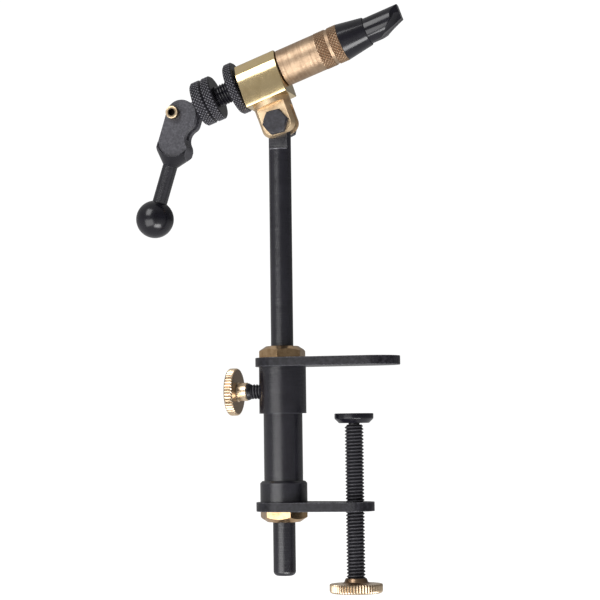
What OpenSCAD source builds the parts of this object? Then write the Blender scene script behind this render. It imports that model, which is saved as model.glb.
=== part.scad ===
// Fly tying vise: a bench clamp, a sliding post and a tilting head.
// The head's jaws turn, and a cam lever draws them shut.
// Millimetres. The origin is on the post's axis at the bench face. +X points to the jaws, +Z up.

/* [Clamp] */
// Diameter of the column's collars
column_diameter = 20; // [18.5:0.5:26]
// Diameter of the column's waist
waist_diameter = 16.5; // [13:0.5:18]
// Height of the collar that takes the height lock
top_collar_height = 19.8; // [16:0.2:26]
// Height of the waist
waist_height = 28.5; // [20:0.5:45]
// Height of the lower collar
low_collar_height = 8.9; // [5:0.1:15]
// Break on the lower collar's top edge
collar_break = 0.9; // [0.4:0.1:1.5]
// Thread on the column's two ends
column_thread = 12.5; // [11.5:0.5:14]
// Thickness of the upper arm
upper_arm_thickness = 3.8; // [3:0.1:6]
// Width of the upper arm
upper_arm_width = 23; // [21:0.5:30]
// Distance from the post to the centre of the upper arm's round end
upper_arm_reach = 39.5; // [34:0.5:60]
// Depth of the seats for the column in the arms
seat_depth = 0.4; // [0.2:0.1:0.8]
// Thickness of the lower arm
lower_arm_thickness = 3.9; // [3:0.1:6]
// Radius of the lower arm round the column
lower_arm_radius = 11.7; // [11:0.1:15]
// Radius of the lower arm round the clamp screw
lower_arm_end_radius = 8.2; // [7:0.1:11]
// Width over the flats of the column nuts
nut_flats = 17.8; // [17:0.1:20]
// Height of the upper column nut
upper_nut_height = 4.9; // [3.5:0.1:8]
// Height of the lower column nut
lower_nut_height = 4.5; // [3.5:0.1:8]
// Turn of the upper nut as fitted
upper_nut_turn = 33; // [0:1:60]
// Turn of the lower nut as fitted
lower_nut_turn = 1; // [0:1:60]
// How far the column's thread stays inside the nuts
nut_recess = 0.3; // [0.1:0.1:1]
// Slope of the chamfers on the nuts and the bolt
nut_chamfer = 33; // [15:1:35]
// Share of the width over flats that stays flat on the bolt's and its nut's faces
bolt_face = 0.94; // [0.88:0.01:0.98]
// Share of the width over flats that stays flat on the column nuts' faces
nut_face = 0.78; // [0.76:0.01:0.98]

/* [Clamp screw] */
// Distance from the post to the clamp screw
screw_reach = 31; // [28:0.5:36]
// Diameter of the clamp screw, 5/16 in
screw_diameter = 7.94; // [6:0.02:10]
// Opening between the bench face and the pad
clamp_opening = 20.2; // [2:0.1:30]
// Diameter of the pad
pad_diameter = 16.4; // [14:0.2:20]
// Height of the pad's straight rim
pad_rim = 2.2; // [1.5:0.1:4]
// Height of the slope under the rim
pad_slope = 1.9; // [1:0.1:2.5]
// Diameter of the screw's neck in the pad
neck_diameter = 4.7; // [3.5:0.1:5.5]
// Diameter of the head that holds the pad on the neck
neck_head_diameter = 6.4; // [6:0.1:8]
// Height of that head
neck_head_height = 1; // [0.6:0.1:1.2]
// Thickness of the pad's lip under that head
pad_lip = 1.2; // [0.8:0.1:1.4]
// Length of the neck that shows under the pad
neck_gap = 0.6; // [0.3:0.1:2]
// Length of the threaded part down to the knob
screw_length = 64.1; // [60:0.1:90]
// Break on the screw's top end
screw_break = 0.8; // [0.4:0.1:1]
// Diameter of the screw's end in the knob
screw_end_diameter = 6; // [4:0.1:6]
// Length of the screw's end in the knob
screw_end_length = 4.2; // [3:0.1:5]
// Diameter of the knob's rim
knob_diameter = 22.3; // [18:0.1:30]
// Height of the knob's rim
knob_rim = 3.9; // [3:0.1:7]
// Rounding of the knob's lower edge
knob_edge = 1.2; // [0.5:0.1:1.4]
// Diameter of the knob's neck at the top
knob_neck = 9.2; // [8.6:0.1:11]
// Diameter where the knob's neck meets the rim
knob_neck_foot = 12.7; // [11.5:0.1:15]
// Height of the knob's neck
knob_neck_height = 2.3; // [1.5:0.1:5]
// How hollow the knob's neck is, as a share of its width and height
knob_neck_hollow = 0.35; // [0.25:0.05:0.5]

/* [Height lock] */
// Depth of the lock screw's axis under the bench face
lock_depth = 10.4; // [8:0.1:11]
// Diameter of the lock screw, 1/4 in
lock_diameter = 6.35; // [5:0.05:7]
// Diameter of the brass shoe at its end
shoe_diameter = 4.8; // [3:0.1:5]
// Length of the shoe
shoe_length = 2.4; // [1.5:0.1:3]
// Gap between the shoe and the post
shoe_gap = 0.3; // [0.3:0.1:0.6]
// Length of bare screw between the column and the collar
lock_gap = 3.4; // [2.5:0.1:10]
// Length of the collar in front of the thumb disc
lock_collar_length = 1.9; // [1:0.1:4]
// Diameter of the collar
lock_collar_diameter = 7.2; // [7.1:0.1:9]
// Length of the collar's straight rim
lock_collar_rim = 0.5; // [0.2:0.1:0.8]
// Diameter of the thumb disc's hub
lock_hub_diameter = 7.8; // [7.4:0.1:12]
// Length of the hub
lock_hub_length = 4.3; // [3:0.1:8]
// Diameter of the thumb disc
lock_disc_diameter = 20.2; // [15:0.1:26]
// Thickness of the thumb disc
lock_disc_thickness = 3.85; // [3:0.05:7]
// Rounding of the thumb disc's edges
lock_disc_edge = 0.8; // [0.4:0.1:1.2]
// Diameter of the lock screw's end in the thumb disc
lock_socket_diameter = 5; // [3:0.1:5]
// Depth of the lock screw's end in the thumb disc
lock_socket_depth = 6; // [4:0.1:6.2]

/* [Post] */
// Diameter of the post, 3/8 in
stem_diameter = 9.52; // [8:0.02:10]
// Length of the post below the bench face
stem_low = 88.2; // [75:0.1:140]
// Height of the tilt pivot above the bench face
pivot_height = 104; // [60:0.1:180]
// Thickness of the tang
tang_thickness = 5; // [4:0.1:6]
// Distance from the pivot down to the tang's shoulder
tang_length = 10.9; // [9.8:0.1:14]
// Distance from the pivot to the tang's top
tang_top = 5; // [4.5:0.1:5.4]
// Clearance on each side of the tang in the clevis
tang_clearance = 0.1; // [0.05:0.05:0.2]
// Clearance over the tang in the clevis
tang_top_clearance = 0.7; // [0.4:0.1:1]
// Rounding of the post's lower end
stem_round = 2; // [0.5:0.1:3]

/* [Head] */
// Tilt of the head as fitted, nose up
head_tilt = 20; // [0:0.5:25]
// Height of the barrel's axis above the pivot
axis_height = 21.9; // [21:0.1:28]
// Distance from the pivot to the block's middle
block_offset = 0.15; // [0:0.05:1]
// Length of the block
block_length = 18.8; // [17:0.1:24]
// Width of the block
block_width = 18; // [17:0.1:24]
// Height of the block above the barrel's axis
block_top = 8; // [7.6:0.1:11]
// Depth of the block below the barrel's axis
block_bottom = 11.7; // [10:0.1:12]
// Width of the bevels on the block's top
bevel_width = 4.5; // [2:0.1:6]
// Height of the bevels
bevel_height = 4.85; // [2:0.05:6]
// Break on the block's lower edges
block_break = 0.7; // [0.3:0.1:1.5]
// Diameter of the bar that the clevis is turned from
clevis_diameter = 16.2; // [15:0.1:17]
// Distance over the clevis flats
clevis_flats = 10.4; // [9.6:0.1:12]
// Distance from the pivot to the clevis's lower end
clevis_drop = 5.4; // [5:0.1:7.5]
// Rounding of that end
clevis_round = 4.2; // [1.5:0.1:5]
// Height of the clevis's round shoulder, above its flats
shoulder_height = 1.2; // [0.6:0.1:2]
// Diameter of the spigot in the block
spigot_diameter = 7; // [5:0.1:8]
// Length of the spigot
spigot_length = 3.4; // [2:0.1:3.8]
// Diameter of the pivot bolt
bolt_diameter = 6; // [5:0.1:6]
// Width over the flats of the bolt's head and nut
bolt_flats = 10; // [9:0.1:11]
// Height of the bolt's head
bolt_head_height = 2.6; // [2:0.1:5]
// Turn of the bolt as fitted
bolt_turn = 8; // [-30:1:30]
// Height of the bolt's nut
bolt_nut_height = 5; // [3:0.1:6]
// Length of bolt past the nut
bolt_end = 1; // [0.5:0.1:3]

/* [Barrel] */
// Diameter of the barrel grip
barrel_diameter = 16; // [15.5:0.1:17]
// Length of the smooth part of the grip
barrel_smooth = 18; // [14:0.1:30]
// Length of the rear knurled band
rear_knurl = 4.8; // [3:0.1:6]
// Length of the groove between the bands
barrel_groove = 1.3; // [1:0.1:4]
// Length of the front knurled band
front_knurl = 4.2; // [3:0.1:6]
// How far the knurled bands stand proud
knurl_rise = 0.2; // [0.1:0.05:0.4]
// Depth of the groove
groove_depth = 0.2; // [0.1:0.05:0.4]
// Diameter of the sleeve in the block and the grip
journal_diameter = 12; // [11.6:0.1:12.6]
// Length of the sleeve's nose cone
nose_length = 11.5; // [9:0.1:16]
// Diameter of the nose's mouth
nose_mouth = 12.5; // [12.3:0.1:13.4]
// Diameter of the sleeve's bore
sleeve_bore = 9; // [8:0.1:9.2]
// Depth of the closing taper in the nose
taper_length = 8.9; // [7:0.1:9.5]
// Wall at the nose's mouth
mouth_wall = 0.3; // [0.3:0.05:0.5]
// Diameter of the threaded tail
tail_diameter = 9.2; // [8.4:0.1:10]
// Break on the tail's end
tail_break = 0.5; // [0.3:0.1:1]
// How far the tail's end stays inside the adjusting ring
tail_recess = 0.5; // [0.3:0.1:1]
// Length of tail that shows between the rings
tail_gap = 7.3; // [3:0.1:12]
// Wall behind the sleeve's bore
sleeve_shoulder = 4; // [3:0.1:6]

/* [Rings] */
// Diameter of the tension ring
tension_diameter = 23; // [18:0.1:26]
// Width of the tension ring
tension_width = 4; // [3:0.1:8]
// Gap between the tension ring and the block
tension_gap = 0.7; // [0.2:0.1:1]
// Diameter of the jam and adjusting rings
ring_diameter = 20; // [16:0.1:24]
// Width of the jam ring
jam_width = 4.4; // [3.5:0.1:8]
// Width of the adjusting ring
adjust_width = 4.7; // [4:0.1:8]
// Gap between the two rings
ring_gap = 0.2; // [0.2:0.1:1]
// Break on the rings' edges
ring_break = 0.8; // [0.3:0.1:1]
// Diameter of the hub that the cam presses on
thrust_hub_diameter = 12.6; // [12:0.1:16]
// Height of that hub
thrust_hub_height = 0.95; // [0.8:0.05:4]

/* [Jaws] */
// Length of the jaws in front of the nose
jaw_length = 15.9; // [12:0.1:20]
// Gap between the jaws' cone and the nose's taper
collet_gap = 0.3; // [0.25:0.05:0.4]
// Distance from the mouth to the start of the cut underneath
jaw_cut_start = 4.35; // [3:0.05:5]
// Rise of the cut under the jaws
jaw_cut_angle = 21; // [15:0.5:23]
// Distance from the mouth to the start of the side bevels
jaw_bevel_start = 11.8; // [8:0.1:13]
// Thickness of the jaws at the tip
jaw_tip_thickness = 4.4; // [3:0.1:6]
// Distance from the mouth to the hollows in the jaws' sides, along the axis
jaw_hollow_start = 11.8; // [10:0.1:13]
// Lean of those hollows from the axis
jaw_hollow_angle = 49; // [42:1:56]
// Thickness left between the hollows
jaw_hollow_width = 4; // [3:0.1:4.2]
// Radius in the hollows' corners
jaw_hollow_radius = 3; // [1:0.1:3.2]
// Width of the split
jaw_split = 0.4; // [0.3:0.05:0.8]
// Length of the collet's shank behind its cone
shank_length = 28; // [24:0.5:30]
// Length of the shank that isn't split
shank_solid = 11; // [9:0.5:14]
// Diameter of the draw rod
rod_diameter = 5; // [4:0.1:5.2]
// Depth of the draw rod's thread in the shank
rod_socket = 8; // [5:0.1:9]
// Thickness of the draw rod's flat end
tongue_thickness = 3; // [2:0.1:4]
// Radius of the eye at that end
eye_radius = 4; // [3.5:0.1:4.5]
// Gap between the eye's flat and the thrust hub
tongue_gap = 0.1; // [0.1:0.1:0.5]
// Gap at the return spring's ends
spring_gap = 0.1; // [0.1:0.1:0.5]
// Wire of the return spring
spring_wire = 0.8; // [0.5:0.1:0.9]
// Number of turns of the return spring
spring_turns = 8; // [5:1:10]

/* [Lever] */
// Angle of the lever behind the square to the barrel's axis
lever_angle = 37.4; // [30:0.1:40]
// Radius of the cam
cam_radius = 6.7; // [6:0.1:7.5]
// Distance of the cam's centre from its pin
cam_throw = 3.4; // [2.5:0.05:3.6]
// Gap between the cam and the thrust hub
cam_gap = 0.3; // [0.3:0.05:0.6]
// Thickness of the lever's head
cam_thickness = 9.8; // [8.5:0.1:12]
// Length of the lever's head below the cam's centre
lever_head_length = 22.3; // [20:0.1:26]
// Slope of the turned taper at the head's lower end
lever_taper = 40.6; // [30:0.2:44]
// Distance from the rod up to the round ends of the head's flats
flat_end = 3.6; // [2:0.1:5]
// Radius of those ends
flat_end_radius = 7; // [6.8:0.1:9]
// Stock left outside the head's corners by the taper
bar_margin = 0.2; // [0.1:0.1:1]
// Depth of the slot below the cam's centre
slot_depth = 9.6; // [6:0.1:11]
// Clearance on each side of the draw rod's eye in the slot
slot_clearance = 0.2; // [0.1:0.05:0.4]
// Depth of the hollow in the lever's front
relief_depth = 2.4; // [0.5:0.1:3]
// Radius of that hollow
relief_radius = 5; // [4:0.1:12]
// Distance from the cam's centre down to the hollow
relief_drop = 8.3; // [8:0.1:10]
// Rounding of the corners above and below the hollow
relief_round = 4; // [0.5:0.1:5]
// Diameter of the pin's shank
pin_diameter = 3; // [2.5:0.1:3.5]
// Diameter of the pin's head
pin_head_diameter = 5.5; // [5:0.1:6.5]
// Height of the pin's head
pin_head_height = 3; // [2:0.1:4]
// Width over the flats of the pin's socket
pin_socket = 2.5; // [2:0.1:3]
// Depth of the pin's socket
pin_socket_depth = 1.6; // [1:0.1:1.8]
// Diameter of the lever's rod
lever_rod_diameter = 6.5; // [5.5:0.1:8]
// Distance from the cam's centre to the ball's centre
ball_distance = 46.4; // [40:0.1:80]
// Diameter of the ball
ball_diameter = 16.4; // [13:0.1:22]
// Depth of the rod's seat in the ball
ball_seat = 1; // [0.9:0.1:2]
// Diameter of the rod's threaded ends
rod_thread = 4; // [3:0.1:5]
// Length of the rod's threaded ends
rod_thread_length = 6; // [4:0.5:8]

/* [Fits] */
// Clearance on the radius of a turning or sliding fit
running_clearance = 0.05; // [0.02:0.01:0.08]
// Clearance on the radius of a threaded or fitted joint
fit_clearance = 0.05; // [0.02:0.01:0.1]
// Clearance between faces that only pass each other
free_clearance = 0.3; // [0.2:0.05:0.5]

/* [Hidden] */
$fn = 96;
overlap = 1;
column_height = top_collar_height + waist_height + low_collar_height;
column_foot = -column_height;
lower_arm_foot = column_foot - lower_arm_thickness;
upper_nut_top = upper_arm_thickness + upper_nut_height;
lower_nut_foot = lower_arm_foot - lower_nut_height;
stem_bore = stem_diameter + 2 * running_clearance;
pad_foot = pad_rim + pad_slope;
pad_cavity_foot = pad_foot - pad_lip;
screw_top = -clamp_opening - pad_foot - neck_gap;
knob_top = screw_top - screw_length;
knob_foot = knob_top - knob_neck_height - knob_rim;
shoe_tip = stem_diameter / 2 + shoe_gap;
shoe_foot = shoe_tip + shoe_length;
lock_end = column_diameter / 2 + lock_gap;
lock_hub_start = lock_end + lock_collar_length;
lock_disc_start = lock_hub_start + lock_hub_length;
lock_disc_end = lock_disc_start + lock_disc_thickness;
clevis_slot = tang_thickness + 2 * tang_clearance;
clevis_slot_top = tang_top + tang_top_clearance;
clevis_shoulder = axis_height - block_bottom - shoulder_height;
bolt_reach = clevis_flats / 2 + bolt_nut_height + bolt_end;
block_rear = block_offset - block_length / 2;
block_front = block_offset + block_length / 2;
grip_rear = block_front + free_clearance;
knurl_rear = grip_rear + barrel_smooth;
groove_rear = knurl_rear + rear_knurl;
groove_front = groove_rear + barrel_groove;
grip_front = groove_front + front_knurl;
mouth = grip_front + nose_length;
mouth_radius = nose_mouth / 2 - mouth_wall;
taper_rear = mouth - taper_length;
tension_front = block_rear - tension_gap;
tension_rear = tension_front - tension_width;
jam_front = tension_rear - tail_gap;
jam_rear = jam_front - jam_width;
adjust_front = jam_rear - ring_gap;
adjust_rear = adjust_front - adjust_width;
tail_end = adjust_rear + tail_recess;
thrust_face = adjust_rear - thrust_hub_height;
tail_bore = rod_diameter + 2 * free_clearance;
bore_end = block_rear + sleeve_shoulder;
tip = mouth + jaw_length;
jaw_radius = mouth_radius - collet_gap;
shank_radius = sleeve_bore / 2 - collet_gap;
shank_end = taper_rear - shank_length;
rod_front = shank_end + rod_socket;
cam_reach = cam_radius + cam_throw * cos(lever_angle);
pin_place = thrust_face - cam_gap - cam_reach;
tongue_front = thrust_face - tongue_gap;
lever_slot = tongue_thickness + 2 * slot_clearance;
bar_radius = norm([cam_radius, cam_thickness / 2]) + bar_margin;
rod_end = ball_distance - ball_diameter / 2 + ball_seat;
spring_radius = (rod_diameter / 2 + sleeve_bore / 2) / 2;
spring_sides = 6;
spring_steps = 16;
spring_start = bore_end + spring_wire / 2 + spring_gap;
spring_length = shank_end - bore_end - spring_wire - 2 * spring_gap;
black_steel = [0.14, 0.14, 0.15];
black_oxide = [0.2, 0.2, 0.21];
black_paint = [0.1, 0.1, 0.1];
tool_steel = [0.35, 0.34, 0.34];
brass = [0.8, 0.66, 0.42];
satin_brass = [0.86, 0.68, 0.42];
spring_steel = [0.6, 0.6, 0.62];

// A hexagon with its points broken by a cone at the top, standing on z = 0
module hex_nut(flats, height, face) {
    point_radius = flats / sqrt(3);
    face_radius = face * flats / 2;
    outside = point_radius + overlap;
    intersection() {
        cylinder(r = point_radius, h = height, $fn = 6);
        rotate_extrude()
            polygon([
                [0, 0],
                [outside, 0],
                [outside, height - (outside - face_radius) * tan(nut_chamfer)],
                [face_radius, height],
                [0, height]
            ]);
    }
}

// A disc with rounded edges, standing on z = 0
module round_disc(radius, height, edge) {
    rotate_extrude()
        union() {
            square([radius - edge, height]);
            translate([0, edge])
                square([radius, height - 2 * edge]);
            translate([radius - edge, edge])
                circle(r = edge);
            translate([radius - edge, height - edge])
                circle(r = edge);
        }
}

// A ring with broken edges, standing on z = 0
module broken_ring(radius, height, edge) {
    rotate_extrude()
        polygon([
            [0, 0],
            [radius - edge, 0],
            [radius, edge],
            [radius, height - edge],
            [radius - edge, height],
            [0, height]
        ]);
}

// Places children from the lock screw's frame, z pointing out from the post
module on_lock() {
    translate([0, 0, -lock_depth])
        rotate([0, -90, 0])
            children();
}

// Places children from the head's frame, x along the barrel, origin on the pivot
module in_head() {
    translate([0, 0, pivot_height])
        rotate([0, -head_tilt, 0])
            children();
}

// Places children from the barrel's frame, z pointing along the barrel to the jaws
module on_axis() {
    in_head()
        translate([0, 0, axis_height])
            rotate([0, 90, 0])
                children();
}

// Places children from the lever's frame, origin on its pin, z pointing away from the ball
module in_lever() {
    in_head()
        translate([pin_place, 0, axis_height])
            rotate([0, lever_angle, 0])
                children();
}

module clamp_column() {
    radius = column_diameter / 2;
    waist = waist_diameter / 2;
    thread = column_thread / 2;
    color(black_steel)
        difference() {
            rotate_extrude()
                polygon([
                    [stem_bore / 2, lower_nut_foot + nut_recess],
                    [thread, lower_nut_foot + nut_recess],
                    [thread, column_foot - seat_depth],
                    [radius, column_foot - seat_depth],
                    [radius, column_foot + low_collar_height - collar_break],
                    [radius - collar_break, column_foot + low_collar_height],
                    [waist, column_foot + low_collar_height],
                    [waist, -top_collar_height],
                    [radius, -top_collar_height],
                    [radius, seat_depth],
                    [thread, seat_depth],
                    [thread, upper_nut_top - nut_recess],
                    [stem_bore / 2, upper_nut_top - nut_recess]
                ]);
            on_lock() {
                cylinder(d = shoe_diameter + 2 * running_clearance, h = radius);
                translate([0, 0, shoe_foot - shoe_gap])
                    cylinder(d = lock_diameter + 2 * running_clearance, h = radius);
            }
        }
}

module upper_arm() {
    color(black_paint)
        difference() {
            linear_extrude(upper_arm_thickness)
                union() {
                    circle(d = upper_arm_width);
                    translate([0, -upper_arm_width / 2])
                        square([upper_arm_reach, upper_arm_width]);
                    translate([upper_arm_reach, 0])
                        circle(d = upper_arm_width);
                }
            translate([0, 0, -overlap])
                cylinder(d = column_diameter + 2 * fit_clearance, h = overlap + seat_depth);
            cylinder(d = column_thread + 2 * fit_clearance, h = upper_arm_thickness + overlap);
        }
}

module lower_arm() {
    slope = asin((lower_arm_radius - lower_arm_end_radius) / screw_reach);
    side = [sin(slope), cos(slope)];
    color(black_paint)
        translate([0, 0, lower_arm_foot])
            difference() {
                linear_extrude(lower_arm_thickness)
                    union() {
                        circle(r = lower_arm_radius);
                        polygon([
                            [side[0] * lower_arm_radius, side[1] * lower_arm_radius],
                            [side[0] * lower_arm_radius, -side[1] * lower_arm_radius],
                            [screw_reach + side[0] * lower_arm_end_radius, -side[1] * lower_arm_end_radius],
                            [screw_reach + side[0] * lower_arm_end_radius, side[1] * lower_arm_end_radius]
                        ]);
                        translate([screw_reach, 0])
                            circle(r = lower_arm_end_radius);
                    }
                translate([0, 0, lower_arm_thickness - seat_depth])
                    cylinder(d = column_diameter + 2 * fit_clearance, h = seat_depth + overlap);
                translate([0, 0, -overlap])
                    cylinder(d = column_thread + 2 * fit_clearance, h = lower_arm_thickness + overlap);
                translate([screw_reach, 0, -overlap])
                    cylinder(
                        d = screw_diameter + 2 * running_clearance,
                        h = lower_arm_thickness + 2 * overlap
                    );
            }
}

module upper_column_nut() {
    color(brass)
        translate([0, 0, upper_arm_thickness])
            difference() {
                rotate([0, 0, upper_nut_turn])
                    hex_nut(nut_flats, upper_nut_height, nut_face);
                translate([0, 0, -overlap])
                    cylinder(d = column_thread + 2 * fit_clearance, h = upper_nut_height + 2 * overlap);
            }
}

module lower_column_nut() {
    color(brass)
        translate([0, 0, lower_arm_foot])
            rotate([180, 0, 0])
                difference() {
                    rotate([0, 0, -lower_nut_turn])
                        hex_nut(nut_flats, lower_nut_height, nut_face);
                    translate([0, 0, -overlap])
                        cylinder(d = column_thread + 2 * fit_clearance, h = lower_nut_height + 2 * overlap);
                }
}

module clamp_pad() {
    radius = pad_diameter / 2;
    neck = neck_diameter / 2 + running_clearance;
    cavity = neck_head_diameter / 2 + running_clearance;
    color(black_steel)
        translate([screw_reach, 0, -clamp_opening])
            rotate_extrude()
                polygon([
                    [0, 0],
                    [radius, 0],
                    [radius, -pad_rim],
                    [radius - pad_slope, -pad_foot],
                    [neck, -pad_foot],
                    [neck, -pad_cavity_foot],
                    [cavity, -pad_cavity_foot],
                    [cavity, -pad_cavity_foot + neck_head_height + 2 * running_clearance],
                    [0, -pad_cavity_foot + neck_head_height + 2 * running_clearance]
                ]);
}

module clamp_screw() {
    radius = screw_diameter / 2;
    neck = neck_diameter / 2;
    head = neck_head_diameter / 2;
    head_foot = -clamp_opening - pad_cavity_foot + running_clearance;
    end = screw_end_diameter / 2;
    color(black_oxide)
        translate([screw_reach, 0, 0])
            rotate_extrude()
                polygon([
                    [0, head_foot + neck_head_height],
                    [head, head_foot + neck_head_height],
                    [head, head_foot],
                    [neck, head_foot],
                    [neck, screw_top],
                    [radius - screw_break, screw_top],
                    [radius, screw_top - screw_break],
                    [radius, knob_top],
                    [end, knob_top],
                    [end, knob_top - screw_end_length],
                    [0, knob_top - screw_end_length]
                ]);
}

module clamp_knob() {
    radius = knob_diameter / 2;
    hollow_radius = knob_neck / 2 + (knob_neck_foot - knob_neck) / 2 * knob_neck_hollow;
    hollow_height = knob_rim + knob_neck_height * knob_neck_hollow;
    end = screw_end_diameter / 2 + fit_clearance;
    color(brass)
        translate([screw_reach, 0, knob_foot])
            difference() {
                rotate_extrude()
                    union() {
                        square([radius - knob_edge, knob_rim]);
                        translate([0, knob_edge])
                            square([radius, knob_rim - knob_edge]);
                        translate([radius - knob_edge, knob_edge])
                            circle(r = knob_edge);
                        polygon([
                            [0, knob_rim],
                            [knob_neck_foot / 2, knob_rim],
                            [hollow_radius, hollow_height],
                            [knob_neck / 2, knob_rim + knob_neck_height],
                            [0, knob_rim + knob_neck_height]
                        ]);
                    }
                translate([0, 0, knob_top - knob_foot - screw_end_length])
                    cylinder(r = end, h = screw_end_length + overlap);
            }
}

module lock_shoe() {
    color(brass)
        on_lock()
            translate([0, 0, shoe_tip])
                cylinder(d = shoe_diameter, h = shoe_length);
}

module lock_screw() {
    radius = lock_diameter / 2;
    start = shoe_foot + running_clearance;
    color(black_oxide)
        on_lock()
            rotate_extrude()
                polygon([
                    [0, start],
                    [radius, start],
                    [radius, lock_end],
                    [lock_collar_diameter / 2, lock_hub_start - lock_collar_rim],
                    [lock_collar_diameter / 2, lock_hub_start],
                    [lock_socket_diameter / 2, lock_hub_start],
                    [lock_socket_diameter / 2, lock_hub_start + lock_socket_depth],
                    [0, lock_hub_start + lock_socket_depth]
                ]);
}

module lock_knob() {
    color(brass)
        on_lock()
            difference() {
                union() {
                    translate([0, 0, lock_hub_start])
                        cylinder(d = lock_hub_diameter, h = lock_hub_length + overlap);
                    translate([0, 0, lock_disc_start])
                        round_disc(lock_disc_diameter / 2, lock_disc_thickness, lock_disc_edge);
                }
                translate([0, 0, lock_hub_start - overlap])
                    cylinder(d = lock_socket_diameter + 2 * fit_clearance, h = lock_socket_depth + overlap);
            }
}

module stem() {
    radius = stem_diameter / 2;
    color(black_steel)
        difference() {
            union() {
                rotate_extrude()
                    union() {
                        translate([0, -stem_low])
                            square([radius - stem_round, stem_round]);
                        translate([0, -stem_low + stem_round])
                            square([radius, stem_low - stem_round + pivot_height - tang_length]);
                        intersection() {
                            translate([radius - stem_round, -stem_low + stem_round])
                                circle(r = stem_round);
                            translate([0, -stem_low])
                                square([radius, stem_round]);
                        }
                    }
                intersection() {
                    cylinder(r = radius, h = pivot_height + tang_top);
                    translate([-radius, -tang_thickness / 2, 0])
                        cube([2 * radius, tang_thickness, pivot_height + tang_top]);
                    union() {
                        cylinder(r = radius + overlap, h = pivot_height);
                        translate([0, 0, pivot_height])
                            rotate([90, 0, 0])
                                cylinder(r = tang_top, h = 2 * radius, center = true);
                    }
                }
            }
            translate([0, 0, pivot_height])
                rotate([90, 0, 0])
                    cylinder(d = bolt_diameter + 2 * running_clearance, h = 2 * radius, center = true);
        }
}

module head_block() {
    half = block_width / 2;
    spigot_top = -block_bottom + spigot_length + fit_clearance;
    color(brass)
        difference() {
            on_axis()
                translate([0, 0, block_rear])
                    linear_extrude(block_length)
                        polygon([
                            [block_bottom, -half + block_break],
                            [block_bottom - block_break, -half],
                            [-block_top + bevel_height, -half],
                            [-block_top, -half + bevel_width],
                            [-block_top, half - bevel_width],
                            [-block_top + bevel_height, half],
                            [block_bottom - block_break, half],
                            [block_bottom, half - block_break]
                        ]);
            on_axis()
                translate([0, 0, block_rear - overlap])
                    cylinder(d = journal_diameter + 2 * running_clearance, h = block_length + 2 * overlap);
            in_head()
                translate([0, 0, axis_height - block_bottom - overlap])
                    cylinder(
                        d = spigot_diameter + 2 * fit_clearance,
                        h = overlap + block_bottom + spigot_top
                    );
        }
}

module tilt_clevis() {
    radius = clevis_diameter / 2;
    height = clevis_drop + clevis_shoulder;
    color(satin_brass)
        in_head()
            difference() {
                union() {
                    intersection() {
                        translate([0, 0, -clevis_drop])
                            rotate_extrude()
                                union() {
                                    square([radius - clevis_round, height]);
                                    translate([0, clevis_round])
                                        square([radius, height - clevis_round]);
                                    translate([radius - clevis_round, clevis_round])
                                        intersection() {
                                            circle(r = clevis_round);
                                            translate([0, -clevis_round])
                                                square(clevis_round);
                                        }
                                }
                        translate([-radius, -clevis_flats / 2, -clevis_drop])
                            cube([2 * radius, clevis_flats, height]);
                    }
                    translate([0, 0, clevis_shoulder - overlap])
                        cylinder(d = clevis_diameter, h = shoulder_height + overlap);
                    translate([0, 0, clevis_shoulder])
                        cylinder(d = spigot_diameter, h = shoulder_height + spigot_length);
                }
                translate([-radius - overlap, -clevis_slot / 2, -clevis_drop - overlap])
                    cube([2 * radius + 2 * overlap, clevis_slot, clevis_drop + clevis_slot_top + overlap]);
                rotate([90, 0, 0])
                    cylinder(d = bolt_diameter + 2 * fit_clearance, h = 2 * radius, center = true);
            }
}

module pivot_bolt() {
    color(black_oxide)
        in_head()
            translate([0, -clevis_flats / 2, 0]) {
                rotate([90, bolt_turn, 0])
                    hex_nut(bolt_flats, bolt_head_height, bolt_face);
                rotate([-90, 0, 0])
                    cylinder(d = bolt_diameter, h = clevis_flats / 2 + bolt_reach);
            }
}

module pivot_nut() {
    color(black_oxide)
        in_head()
            translate([0, clevis_flats / 2, 0])
                rotate([-90, 0, 0])
                    difference() {
                        hex_nut(bolt_flats, bolt_nut_height, bolt_face);
                        translate([0, 0, -overlap])
                            cylinder(
                                d = bolt_diameter + 2 * fit_clearance,
                                h = bolt_nut_height + 2 * overlap
                            );
                    }
}

module collet_sleeve() {
    journal = journal_diameter / 2;
    tail = tail_diameter / 2;
    color(black_steel)
        on_axis()
            rotate_extrude()
                polygon([
                    [tail_bore / 2, tail_end],
                    [tail - tail_break, tail_end],
                    [tail, tail_end + tail_break],
                    [tail, tension_front],
                    [journal, tension_front],
                    [journal, grip_front],
                    [barrel_diameter / 2, grip_front],
                    [nose_mouth / 2, mouth],
                    [mouth_radius, mouth],
                    [sleeve_bore / 2, taper_rear],
                    [sleeve_bore / 2, bore_end],
                    [tail_bore / 2, bore_end]
                ]);
}

module barrel_grip() {
    inner = journal_diameter / 2 + fit_clearance;
    outer = barrel_diameter / 2;
    color(satin_brass)
        on_axis()
            rotate_extrude()
                polygon([
                    [inner, grip_rear],
                    [outer, grip_rear],
                    [outer, knurl_rear],
                    [outer + knurl_rise, knurl_rear],
                    [outer + knurl_rise, groove_rear],
                    [outer - groove_depth, groove_rear],
                    [outer - groove_depth, groove_front],
                    [outer + knurl_rise, groove_front],
                    [outer + knurl_rise, grip_front],
                    [inner, grip_front]
                ]);
}

module tension_ring() {
    color(black_oxide)
        on_axis()
            translate([0, 0, tension_rear])
                difference() {
                    broken_ring(tension_diameter / 2, tension_width, ring_break);
                    translate([0, 0, -overlap])
                        cylinder(d = tail_diameter + 2 * running_clearance, h = tension_width + 2 * overlap);
                }
}

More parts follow.
